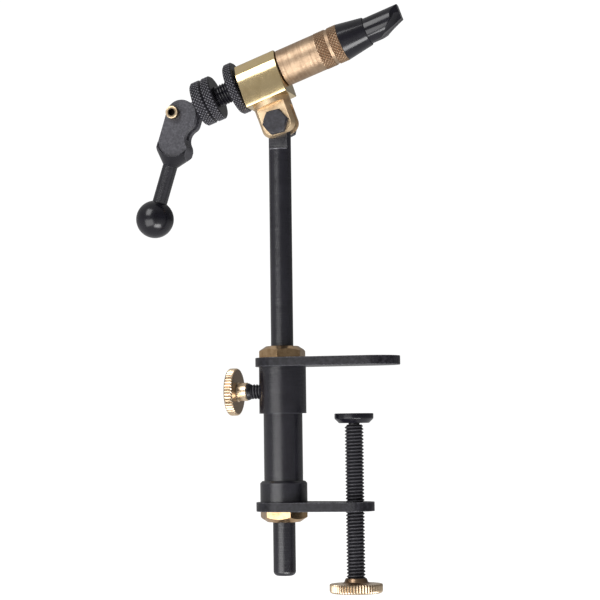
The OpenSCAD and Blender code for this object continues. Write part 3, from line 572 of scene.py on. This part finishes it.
def soften(bm, width, segments=2, sharp=28):
    edges = [e for e in bm.edges if e.is_manifold and e.calc_face_angle(0) > math.radians(sharp)]
    bmesh.ops.bevel(
        bm,
        geom=edges,
        offset=width,
        offset_type="OFFSET",
        affect="EDGES",
        segments=segments,
        profile=0.5,
        material=-1,
        clamp_overlap=True,
    )
    return bm


def carve(bm, tool):
    # cuts the second mesh out of the first
    pair = []
    for part in (bm, tool):
        mesh = bpy.data.meshes.new("shaping")
        part.to_mesh(mesh)
        part.free()
        pair.append(bpy.data.objects.new("shaping", mesh))
        bpy.context.scene.collection.objects.link(pair[-1])
    cut = pair[0].modifiers.new("cut", "BOOLEAN")
    cut.object, cut.operation, cut.solver = pair[1], "DIFFERENCE", "EXACT"
    made = startMesh()
    made.from_mesh(pair[0].evaluated_get(bpy.context.evaluated_depsgraph_get()).to_mesh())
    for obj in pair:
        bpy.data.meshes.remove(obj.data)
    return made


def join(bm, other):
    # takes another mesh's shells into this one
    mesh = bpy.data.meshes.new("shaping")
    other.to_mesh(mesh)
    other.free()
    bm.from_mesh(mesh)
    bpy.data.meshes.remove(mesh)
    return bm


def addPiece(name, bm, where, finish, body, slot, *replaced, smooth=32):
    bmesh.ops.transform(bm, matrix=Matrix.Scale(mm, 4) @ where, verts=bm.verts)
    mesh = bpy.data.meshes.new(name)
    bm.to_mesh(mesh)
    bm.free()
    if "custom_normal" in mesh.attributes:
        mesh.attributes.remove(mesh.attributes["custom_normal"])
    mesh.polygons.foreach_set("use_smooth", [True] * len(mesh.polygons))
    mesh.set_sharp_from_angle(angle=math.radians(smooth))
    mesh.materials.clear()
    mesh.materials.append(finish)
    obj = bpy.data.objects.new(name, mesh)
    bpy.context.scene.collection.objects.link(obj)
    flats = obj.modifiers.new("flats", "WEIGHTED_NORMAL")
    flats.keep_sharp = True
    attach(obj, body)
    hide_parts(*replaced)
    return obj


# clamp frame: rounded edges
clampEdges = {"column": 0.3, "arm": 0.55, "nut": 0.2}
addPiece("column", soften(nodeCopy("clamp_column"), clampEdges["column"]), upright, turnedBlack,
         "clamp", "black_steel", "clamp_column")
for arm in ("upper_arm", "lower_arm"):
    addPiece(arm.replace("_arm", "Arm"), soften(nodeCopy(arm), clampEdges["arm"], 3), upright, platePaint,
             "clamp", "black_paint", arm)
for nut in ("upper", "lower"):
    addPiece(f"{nut}ColumnNut", soften(nodeCopy(f"{nut}_column_nut"), clampEdges["nut"]), upright, nutBrass,
             "clamp", "brass", f"{nut}_column_nut")
print("clamp frame built")

# clamp screw, its pad and its knob
screw = {"radius": 3.97, "depth": 0.78, "pitch": 1.411, "top": -24.9, "foot": -89.0, "lead": 0.8, "neck": 2.35,
         "head": 3.2, "headFoot": -23.05, "headTop": -22.05, "end": 3.0, "endFoot": -93.2, "steps": 48}
rod = threaded(screw["radius"], screw["depth"], screw["pitch"], screw["foot"], screw["top"], (0, screw["lead"]))
neck = turned([
    (0, screw["headTop"]), (screw["head"], screw["headTop"]), (screw["head"], screw["headFoot"]),
    (screw["neck"], screw["headFoot"]), (screw["neck"], screw["top"]), (0, screw["top"]),
], screw["steps"])
end = turned([
    (0, screw["foot"]), (screw["end"], screw["foot"]), (screw["end"], screw["endFoot"]), (0, screw["endFoot"]),
], screw["steps"])
addPiece("clampScrew", join(join(rod, neck), end), onScrew, threadOxide, "clamp_screw", "black_oxide", "clamp_screw")
pad = {"round": 0.3}
addPiece("clampPad", soften(nodeCopy("clamp_pad"), pad["round"], 3), upright, glossBlack, "pad", "black_gloss",
         "clamp_pad")

knob = {"foot": -95.2, "radius": 11.15, "rim": 3.9, "edge": 1.2, "topEdge": 0.5, "neckFoot": 6.85, "neckTop": 4.6,
        "neckHeight": 2.3, "bore": 3.05, "boreDepth": 4.2, "dish": 0.4, "dishRadius": 8.0, "dishSlope": 0.8,
        "dishRim": 0.05, "teeth": 54, "toothDepth": 0.45, "toothSteps": 6, "paintedShade": 0.12, "paintedShadeRadius": 6.95,
        "paintedShadeFrom": 0.3,
        # heights of two rows of points on the rim, as shares of it
        "rimRows": (0.5, 0.7),
        # the neck's hollow foot and its top edge: out from the neck, up from the rim or the top
        "neckHollow": ((0.9, 0.35), (0.35, 0.9)), "neckEdge": ((0, -0.4), (-0.3, 0))}
top = knob["rim"] + knob["neckHeight"]
outline = [(0, knob["dish"]), (knob["dishRadius"] - knob["dishSlope"], knob["dish"])]
outline += [(knob["dishRadius"], knob["dishRim"])]
outline += arc(knob["radius"] - knob["edge"], knob["edge"], knob["edge"], -90, 0, 6)
outline += [(knob["radius"], knob["rim"] * share) for share in knob["rimRows"]]
outline += arc(knob["radius"] - knob["topEdge"], knob["rim"] - knob["topEdge"], knob["topEdge"], 0, 90, 3)
outline += [(knob["neckFoot"], knob["rim"])]
outline += [(knob["neckTop"] + out, knob["rim"] + up) for out, up in knob["neckHollow"]]
outline += [(knob["neckTop"] + out, top + up) for out, up in knob["neckEdge"]]
outline += [(knob["bore"], top), (knob["bore"], top - knob["boreDepth"]), (0, top - knob["boreDepth"])]
bm = turned(outline, knob["teeth"] * knob["toothSteps"])
serrate(bm, knob["radius"], knob["radius"] - knob["edge"], knob["teeth"], knob["toothDepth"])
# painted shade: the knob's neck, under the lower arm, takes the dark valley brown
paintShade(bm, knob["paintedShadeRadius"], knob["rim"] + knob["paintedShadeFrom"], math.inf, knob["paintedShade"])
addPiece("clampKnob", bm, onScrew @ Matrix.Translation((0, 0, knob["foot"])), serratedBrass, "clamp_screw", "brass",
         "clamp_knob")
print("clamp screw built")

# height lock: screw, collar and thumb disc
lock = {"radius": 3.175, "depth": 0.62, "pitch": 1.27, "start": 7.51, "end": 13.4, "lead": 0.5, "hub": 15.3,
        "collarFoot": 2.875, "collar": 3.6, "collarRim": 0.5, "round": 0.15, "socket": 2.5, "socketEnd": 21.3,
        "steps": 64}
rod = threaded(lock["radius"], lock["depth"], lock["pitch"], lock["start"], lock["end"], (lock["lead"], 0))
collar = turned([
    (0, lock["end"]), (lock["collarFoot"], lock["end"]), (lock["collar"], lock["hub"] - lock["collarRim"]),
    (lock["collar"], lock["hub"]), (lock["socket"], lock["hub"]), (lock["socket"], lock["socketEnd"]),
    (0, lock["socketEnd"]),
], lock["steps"])
addPiece("lockScrew", join(rod, soften(collar, lock["round"])), onLock, threadOxide, "lock_screw", "black_oxide",
         "lock_screw")

disc = {"hubStart": 15.3, "hub": 3.9, "hubEdge": 0.3, "hubHollow": 0.5, "start": 19.6, "end": 23.45, "radius": 10.1,
        "edge": 0.8, "bore": 2.55, "boreEnd": 21.3, "dish": 0.35, "dishRadius": 7.2, "dishSlope": 0.6, "teeth": 44,
        "toothDepth": 0.45, "toothSteps": 6, "paintedShade": 0.22, "paintedShadeRadius": 9.5, "paintedShadeFrom": 19.5, "paintedShadeTo": 20.1}
outline = [(0, disc["boreEnd"]), (disc["bore"], disc["boreEnd"]), (disc["bore"], disc["hubStart"])]
outline += [(disc["hub"] - disc["hubEdge"], disc["hubStart"]), (disc["hub"], disc["hubStart"] + disc["hubEdge"])]
outline += [(disc["hub"], disc["start"] - disc["hubHollow"]), (disc["hub"] + disc["hubHollow"], disc["start"])]
outline += arc(disc["radius"] - disc["edge"], disc["start"] + disc["edge"], disc["edge"], -90, 0, 4)
outline += [(disc["radius"], (disc["start"] + disc["end"]) / 2)]
outline += arc(disc["radius"] - disc["edge"], disc["end"] - disc["edge"], disc["edge"], 0, 90, 4)
dishFloor = disc["end"] - disc["dish"]
outline += [(disc["dishRadius"], disc["end"]), (disc["dishRadius"] - disc["dishSlope"], dishFloor), (0, dishFloor)]
bm = turned(outline, disc["teeth"] * disc["toothSteps"])
serrate(bm, disc["radius"], disc["radius"] - disc["edge"], disc["teeth"], disc["toothDepth"])
# painted shade: the disc's back, towards the post, is darkened
paintShade(bm, disc["paintedShadeRadius"], disc["paintedShadeFrom"], disc["paintedShadeTo"], disc["paintedShade"])
addPiece("lockKnob", bm, onLock, serratedBrass, "lock_screw", "brass", "lock_knob")
print("height lock built")

# post and tilt joint
post = {"round": 0.45, "ledge": 93.1, "rubbed": 0.65, "wornAndLitFoot": 0.75, "wornAndLitFrom": 3.0}
bm = soften(nodeCopy("stem"), post["round"])
bmesh.ops.bisect_plane(bm, geom=bm.verts[:] + bm.edges[:] + bm.faces[:], plane_no=(0, 0, 1),
                       plane_co=(0, 0, post["ledge"] - post["wornAndLitFoot"]))
crest = bm.verts.layers.float["crest"]
for v in bm.verts:
    if abs(v.co.z - post["ledge"]) < post["rubbed"] and abs(v.co.y) > post["wornAndLitFrom"]:
        v[crest] = 1  # the tang's ledge is painted bright: rubbed metal, and a painted highlight where it catches the light
addPiece("post", bm, upright, turnedBlack, "post", "black_steel", "stem")
clevis = {"round": 0.35}
addPiece("tiltClevis", soften(nodeCopy("tilt_clevis"), clevis["round"], 3), upright, satinBrass, "head", "satin_brass",
         "tilt_clevis")
bolt = {"round": 0.18, "face": -7.8, "dimple": 1.3, "dimpleDepth": 0.1, "dimpleSteps": (24, 16)}
dimple = bmesh.new()
around, along = bolt["dimpleSteps"]
bmesh.ops.create_uvsphere(dimple, u_segments=around, v_segments=along, radius=bolt["dimple"])
dimplePlace = Matrix.Translation((0, bolt["face"] - bolt["dimple"] + bolt["dimpleDepth"], 0))
bmesh.ops.transform(dimple, matrix=inHead @ dimplePlace, verts=dimple.verts)
addPiece("pivotBolt", carve(soften(nodeCopy("pivot_bolt"), bolt["round"]), dimple), upright, boltOxide, "head",
         "black_oxide", "pivot_bolt")
addPiece("pivotNut", soften(nodeCopy("pivot_nut"), bolt["round"]), upright, boltOxide, "head", "black_oxide",
         "pivot_nut")

# block: its faces are buffed, so they fall away a little near every long edge
block = {"rear": -9.0, "length": 18.8, "half": 9.0, "top": 8.0, "bottom": 11.7, "bevelWidth": 4.5,
         "bevelHeight": 4.85, "round": 0.3, "roundFrom": 60, "bore": 6.05, "spigot": 3.55, "spigotTop": -8.25,
         "spigotDepth": 8.0, "steps": 64,
         # how far the side falls back, above the bottom and about the bevel's foot
         "lowerFall": ((1.0, 0), (0.7, 0.2), (0.56, 0.7), (0.44, 1.5), (0.3, 2.5), (0.14, 4.0), (0.04, 6.0),
                       (0, 8.4)),
         "upperFall": ((0, -4.2), (0.03, -3.2), (0.11, -2.3), (0.24, -1.5), (0.4, -0.75), (0.56, -0.2),
                       (0.84, 0.35)),
         # about the bevel's head, inwards and down from the top
         "topFall": ((-0.35, 0.45), (0.3, 0.06), (1.2, 0))}
bevelFoot = block["top"] - block["bevelHeight"]
side = [(inset, up - block["bottom"]) for inset, up in block["lowerFall"]]
side += [(inset, up + bevelFoot) for inset, up in block["upperFall"]]
side += [(block["bevelWidth"] + inset, block["top"] - down) for inset, down in block["topFall"]]
bm = startMesh()
ring = [bm.verts.new((block["rear"], inset - block["half"], z)) for inset, z in side]
ring += [bm.verts.new((block["rear"], block["half"] - inset, z)) for inset, z in reversed(side)]
wall = bmesh.ops.extrude_face_region(bm, geom=[bm.faces.new(ring)])
front = [v for v in wall["geom"] if isinstance(v, bmesh.types.BMVert)]
bmesh.ops.translate(bm, vec=(block["length"], 0, 0), verts=front)
bmesh.ops.recalc_face_normals(bm, faces=bm.faces)
soften(bm, block["round"], 3, block["roundFrom"])
bm = carve(bm, cylinder(block["bore"], 2 * block["length"], block["steps"], turn(90, "Y")))
seat = Matrix.Translation((0, 0, block["spigotTop"] - block["spigotDepth"] / 2))
bm = carve(bm, cylinder(block["spigot"], block["spigotDepth"], block["steps"], seat))
addPiece("headBlock", bm, inBlock, polishedBrass, "head", "polished_brass", "head_block")
print("tilt joint and block built")

# barrel grip with its two knurled bands: from, to, rows
grip = {"bore": 6.05, "radius": 8.0, "knurl": 8.2, "groove": 7.8, "rear": 10.1, "bodyFront": 28.1,
        "rearBand": (28.2, 32.75, 6), "grooveRear": 32.9, "grooveFront": 34.2, "frontBand": (34.35, 38.2, 5),
        "front": 38.4, "edge": 0.25, "frontEdge": 0.3, "teeth": 32, "depth": 0.4, "plain": 0.75}
outline = [(grip["bore"], grip["rear"]), (grip["radius"] - grip["edge"], grip["rear"])]
outline += [(grip["radius"], grip["rear"] + grip["edge"]), (grip["radius"], grip["bodyFront"])]
outline += band(grip["knurl"], *grip["rearBand"])
outline += [(grip["groove"], grip["grooveRear"]), (grip["groove"], grip["grooveFront"])]
outline += band(grip["knurl"], *grip["frontBand"])
outline += [(grip["knurl"] - grip["frontEdge"], grip["front"]), (grip["bore"], grip["front"])]
bm = turned(outline, grip["teeth"] * 2, closed=True)
crest = bm.verts.layers.float["crest"]
for v in bm.verts:
    v[crest] = grip["plain"]
for low, high, rows in (grip["rearBand"], grip["frontBand"]):
    diamondKnurl(bm, grip["knurl"], low, high, grip["teeth"], rows, grip["depth"])
addPiece("barrelGrip", bm, onBarrel, turnedBrass, "barrel", "satin_brass", "barrel_grip")

# sleeve: nose cone in front, journal in the block, threaded tail behind
sleeve = {"bore": 4.5, "tailBore": 2.8, "tailBoreReach": 80.0, "boreEnd": -5.0, "journal": 6.0, "journalRear": -9.7,
          "noseRear": 38.4, "noseFoot": 7.8, "noseRadius": 8.0, "noseStart": 38.65, "mouth": 49.9, "lipRear": 49.6,
          "lipRadius": 6.31, "mouthOuter": 6.17, "mouthInner": 5.95, "taperRear": 41.0, "steps": 96,
          "tail": 4.6, "tailDepth": 0.6, "tailPitch": 1.2, "tailEnd": -29.8, "tailLead": 0.5, "tailSteps": 48}
bm = turned([
    (sleeve["tailBore"], sleeve["journalRear"]), (sleeve["journal"], sleeve["journalRear"]),
    (sleeve["journal"], sleeve["noseRear"]), (sleeve["noseFoot"], sleeve["noseRear"]),
    (sleeve["noseRadius"], sleeve["noseStart"]), (sleeve["lipRadius"], sleeve["lipRear"]),
    (sleeve["mouthOuter"], sleeve["mouth"]), (sleeve["mouthInner"], sleeve["mouth"]),
    (sleeve["bore"], sleeve["taperRear"]), (sleeve["bore"], sleeve["boreEnd"]),
    (sleeve["tailBore"], sleeve["boreEnd"]),
], sleeve["steps"], closed=True)
tail = threaded(sleeve["tail"], sleeve["tailDepth"], sleeve["tailPitch"], sleeve["tailEnd"], sleeve["journalRear"],
                (sleeve["tailLead"], 0))
hole = cylinder(sleeve["tailBore"], sleeve["tailBoreReach"], sleeve["tailSteps"],
                Matrix.Translation((0, 0, sleeve["tailEnd"])))
addPiece("colletSleeve", join(bm, carve(tail, hole)), onBarrel, glossBlack, "barrel", "black_gloss",
         "collet_sleeve")
print("barrel built")

# the three knurled rings
rings = {
    "tensionRing": {"node": "tension_ring", "front": -9.7, "rear": -13.7, "radius": 11.5, "teeth": 44, "rows": 4},
    "jamRing": {"node": "jam_ring", "front": -21.0, "rear": -25.4, "radius": 10.0, "teeth": 38, "rows": 4},
    "adjustingRing": {"node": "adjusting_ring", "front": -25.6, "rear": -30.3, "radius": 10.0, "teeth": 38, "rows": 4,
                      "hub": 6.3, "hubEnd": -31.25, "hubBore": 2.8},
}
ringShape = {"bore": 4.65, "edge": 0.8, "depth": 0.45, "hubEdge": 0.2}
for name, ring in rings.items():
    low, high, radius, edge = ring["rear"], ring["front"], ring["radius"], ringShape["edge"]
    outline = [(ringShape["bore"], low), (radius - edge, low)]
    if "hub" in ring:
        hub, hubEnd, hubEdge = ring["hub"], ring["hubEnd"], ringShape["hubEdge"]
        outline = [(ringShape["bore"], low), (ring["hubBore"], low), (ring["hubBore"], hubEnd)]
        outline += [(hub - hubEdge, hubEnd), (hub, hubEnd + hubEdge), (hub, low), (radius - edge, low)]
    outline += band(radius, low + edge, high - edge, ring["rows"])
    outline += [(radius - edge, high), (ringShape["bore"], high)]
    bm = turned(outline, ring["teeth"] * 2, closed=True)
    diamondKnurl(bm, radius, low + edge, high - edge, ring["teeth"], ring["rows"], ringShape["depth"])
    addPiece(name, bm, onBarrel, knurledOxide, ring["node"], "black_oxide", ring["node"])
print("rings built")

# jaws and lever
jaws = {"round": 0.12}
addPiece("jaws", soften(nodeCopy("jaw_collet"), jaws["round"]), upright, glossBlack, "draw_bar", "black_gloss",
         "jaw_collet")
leverShape = {"round": 0.25, "flatFrom": 0.98, "wallBelow": 0.05, "hollowBelow": 0.55}
lever = addPiece("camLever", soften(nodeCopy("cam_lever"), leverShape["round"]), upright, milledBlack, "lever",
                 "black_steel", "cam_lever")
lever.data.materials.append(glossBlack)
# flats and hollow are milled, the taper at the foot is turned
down = inLever.to_3x3() @ Vector((0, 0, -1))
for face in lever.data.polygons:
    onFlat = abs(face.normal.y) > leverShape["flatFrom"]
    inHollow = abs(face.normal.y) < leverShape["wallBelow"] and face.normal.dot(down) < leverShape["hollowBelow"]
    face.material_index = 0 if onFlat or inHollow else 1

# the lever's pin: a screw head with a fine serrated rim, coloured near-black in its socket; the rim is painted dark,
# partly as shade on the head's side
pin = {"shank": 1.5, "foot": -4.9, "shoulder": 4.9, "head": 2.75, "chamfer": 0.2, "top": 7.9, "edge": 0.3,
       "socket": 1.35, "socketFoot": 6.3, "socketDepth": 4.0, "socketSteps": 32, "teeth": 26, "toothDepth": 0.2,
       "valleyShade": 0.2, "ridgeShade": 0.6, "steps": 156}
outline = [(0, pin["foot"]), (pin["shank"], pin["foot"]), (pin["shank"], pin["shoulder"])]
outline += [(pin["head"] - pin["chamfer"], pin["shoulder"]), (pin["head"], pin["shoulder"] + pin["chamfer"])]
outline += arc(pin["head"] - pin["edge"], pin["top"] - pin["edge"], pin["edge"], 0, 90) + [(0, pin["top"])]
socketPlace = Matrix.Translation((0, 0, pin["socketFoot"] + pin["socketDepth"] / 2))
socket = cylinder(pin["socket"], pin["socketDepth"], pin["socketSteps"], socketPlace)
bm = carve(turned(outline, pin["steps"]), socket)
crest = bm.verts.layers.float["crest"]
for v in bm.verts:
    r, ridge = fromAxis(v), ridgeAt(v, pin["teeth"])
    inSocket = r < pin["socket"] + near and v.co.z > pin["shoulder"]
    v[crest] = 0 if inSocket else 1
    # painted shade: the rim is darkened all round, darkest in the serration valleys
    if r > pin["head"] - near:
        v[crest] = pin["valleyShade"] + (pin["ridgeShade"] - pin["valleyShade"]) * ridge
        squeeze(v, 1 - pin["toothDepth"] * (1 - ridge) / r)
addPiece("camPin", bm, inLever @ turn(90, "X"), pinBrass, "lever", "brass", "cam_pin")

# the lever's rod, finely grooved, and its ball
handle = {"start": 22.3, "radius": 3.25, "end": 39.2, "edge": 0.15, "thread": 2.0, "threadStart": 16.6,
          "threadEnd": 44.9, "grooves": 17, "grooveDepth": 0.05, "grooveStart": 22.5, "grooveEnd": 38.9, "steps": 64,
          "ball": 46.4, "ballRadius": 8.2, "ballSteps": 80, "ballRows": 40, "seat": 3.3, "hole": 2.05,
          "holeEnd": 45.2}
rows = band(handle["radius"], handle["grooveStart"], handle["grooveEnd"], 2 * handle["grooves"])
grooves = [(r - i % 2 * handle["grooveDepth"], z) for i, (r, z) in enumerate(rows)]
bm = turned([
    (0, handle["threadStart"]), (handle["thread"], handle["threadStart"]), (handle["thread"], handle["start"]),
    (handle["radius"] - handle["edge"], handle["start"]), *grooves,
    (handle["radius"], handle["end"]), (handle["thread"], handle["end"]), (handle["thread"], handle["threadEnd"]),
    (0, handle["threadEnd"]),
], handle["steps"])
addPiece("leverRod", bm, onLever, rodBlack, "lever", "black_steel", "lever_rod")
rim = math.degrees(math.asin(handle["seat"] / handle["ballRadius"]))
outline = [(0, handle["holeEnd"]), (handle["hole"], handle["holeEnd"]), (handle["hole"], handle["end"])]
outline += [(handle["seat"], handle["end"])]
outline += arc(0, handle["ball"], handle["ballRadius"], rim - 90, 90, handle["ballRows"])
bm = turned(outline, handle["ballSteps"])
addPiece("leverBall", bm, onLever, ballBlack, "lever", "black_gloss", "lever_ball")
print("jaws and lever built")

# spring inside the sleeve, a little shorter than its room so that the jaws' last draw clears it
spring = {"foot": -5.0, "length": 0.985, "smooth": 75}
bm = nodeCopy("return_spring")
seat = (onBarrel @ Matrix.Translation((0, 0, spring["foot"]))).inverted()
bmesh.ops.scale(bm, vec=(1, 1, spring["length"]), space=seat, verts=bm.verts)
addPiece("returnSpring", bm, upright, bareSteel, "barrel", "bare_steel", "return_spring",
         smooth=spring["smooth"])

# solids that keep their own shape
for name, finish in (("lock_shoe", machinedBrass), ("draw_rod", bareSteel)):
    nodes[name].data.materials.clear()
    nodes[name].data.materials.append(finish)

# pale floor and studio light, in metres
studio = {
    "floor": -0.18,  # clear of the post's foot where the post is pushed right down
    "floorRadius": 6.0,
    "floorSteps": 96,
    "paper": "#f6f6f6",
    "paperRough": 0.9,
    "paperGlow": 0.8,
    "boxes": {
        # azimuth from the front towards the jaws, height in degrees, width, height, watts
        "key": (-29, 39, 0.44, 0.56, 3.5),
        "leftLow": (-21, -21.7, 0.86, 0.62, 5.2),
        "lowFront": (37, -45, 0.62, 0.34, 5.4),
    },
    "reach": 0.95,
    "aim": (0.0, 0.0, 0.02),
    # brightness against the direction's height, -1 straight down to 1 straight up
    "leftGlow": ((-1.0, 0.6), (-0.45, 0.6), (-0.2, 0.5), (0.03, 0.4), (0.45, 0.34), (0.7, 0.5), (1.0, 0.5)),
    "rightGlow": ((-1.0, 0.6), (-0.3, 0.55), (-0.06, 0.3), (0.04, 0.13), (0.5, 0.13), (0.8, 0.3), (1.0, 0.4)),
    "sideReach": 0.35,  # how far off the middle one glow has given way to the other
    "backdrop": 1.05,
}
bm = bmesh.new()
bmesh.ops.create_circle(bm, cap_ends=True, segments=studio["floorSteps"], radius=studio["floorRadius"])
bmesh.ops.translate(bm, vec=(0, 0, studio["floor"]), verts=bm.verts)
floorMesh = bpy.data.meshes.new("floor")
bm.to_mesh(floorMesh)
bm.free()
floor = bpy.data.objects.new("floor", floorMesh)
bpy.context.scene.collection.objects.link(floor)
floor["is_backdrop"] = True
# matt white paper
paper, tree, shader = startFinish("white_paper")
shader.inputs["Base Color"].default_value = colour(studio["paper"])
shader.inputs["Roughness"].default_value = studio["paperRough"]
shader.inputs["Emission Color"].default_value = colour("#ffffff")
shader.inputs["Emission Strength"].default_value = studio["paperGlow"]
floorMesh.materials.append(paper)
floor.visible_glossy = False
floor.visible_shadow = False

aim = Vector(studio["aim"])
for name, (azimuth, lift, width, height, watts) in studio["boxes"].items():
    lightData = bpy.data.lights.new(name, "AREA")
    lightData.shape, lightData.size, lightData.size_y, lightData.energy = "RECTANGLE", width, height, watts
    light = bpy.data.objects.new(name, lightData)
    way = turn(azimuth, "Z") @ turn(-lift, "X") @ Vector((0, -1, 0))
    light.location = aim + way * studio["reach"]
    light.rotation_euler = way.to_track_quat("Z", "Y").to_euler()
    light.visible_camera = False
    bpy.context.scene.collection.objects.link(light)

# the studio's own glow: bright from above and from the table, darker at eye level, most on the right
world = bpy.data.worlds.new("studio")
bpy.context.scene.world = world
world.use_nodes = True
tree = world.node_tree
tree.nodes.clear()
way = addNode(tree, "ShaderNodeTexCoord").outputs["Generated"]
parts = addNode(tree, "ShaderNodeSeparateXYZ", links={0: way}).outputs
share = addNode(tree, "ShaderNodeMapRange", {"From Min": -1.0, "From Max": 1.0}, {"Value": parts["Z"]}).outputs[0]
glows = []
for name in ("leftGlow", "rightGlow"):
    glow = addNode(tree, "ShaderNodeValToRGB", links={"Fac": share})
    stops = glow.color_ramp.elements
    for i, (spot, level) in enumerate(studio[name]):
        stop = stops[0] if i == 0 else stops[-1] if spot == 1 else stops.new((spot + 1) / 2)
        stop.color = (level, level, level, 1)
    glows.append(glow.outputs["Color"])
side = addNode(
    tree,
    "ShaderNodeMapRange",
    {"From Min": -studio["sideReach"], "From Max": studio["sideReach"]},
    {"Value": parts["X"]},
).outputs[0]
room = addNode(tree, "ShaderNodeMix", links={0: side, 6: glows[0], 7: glows[1]}, data_type="RGBA").outputs[2]
room = addNode(tree, "ShaderNodeBackground", links={"Color": room}).outputs[0]
white = addNode(tree, "ShaderNodeBackground", {"Color": (1, 1, 1, 1), "Strength": studio["backdrop"]}).outputs[0]
seen = addNode(tree, "ShaderNodeLightPath").outputs["Is Camera Ray"]
mixed = addNode(tree, "ShaderNodeMixShader", links={0: seen, 1: room, 2: white}).outputs[0]
addNode(tree, "ShaderNodeOutputWorld", links={"Surface": mixed})
print("studio set")

low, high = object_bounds()
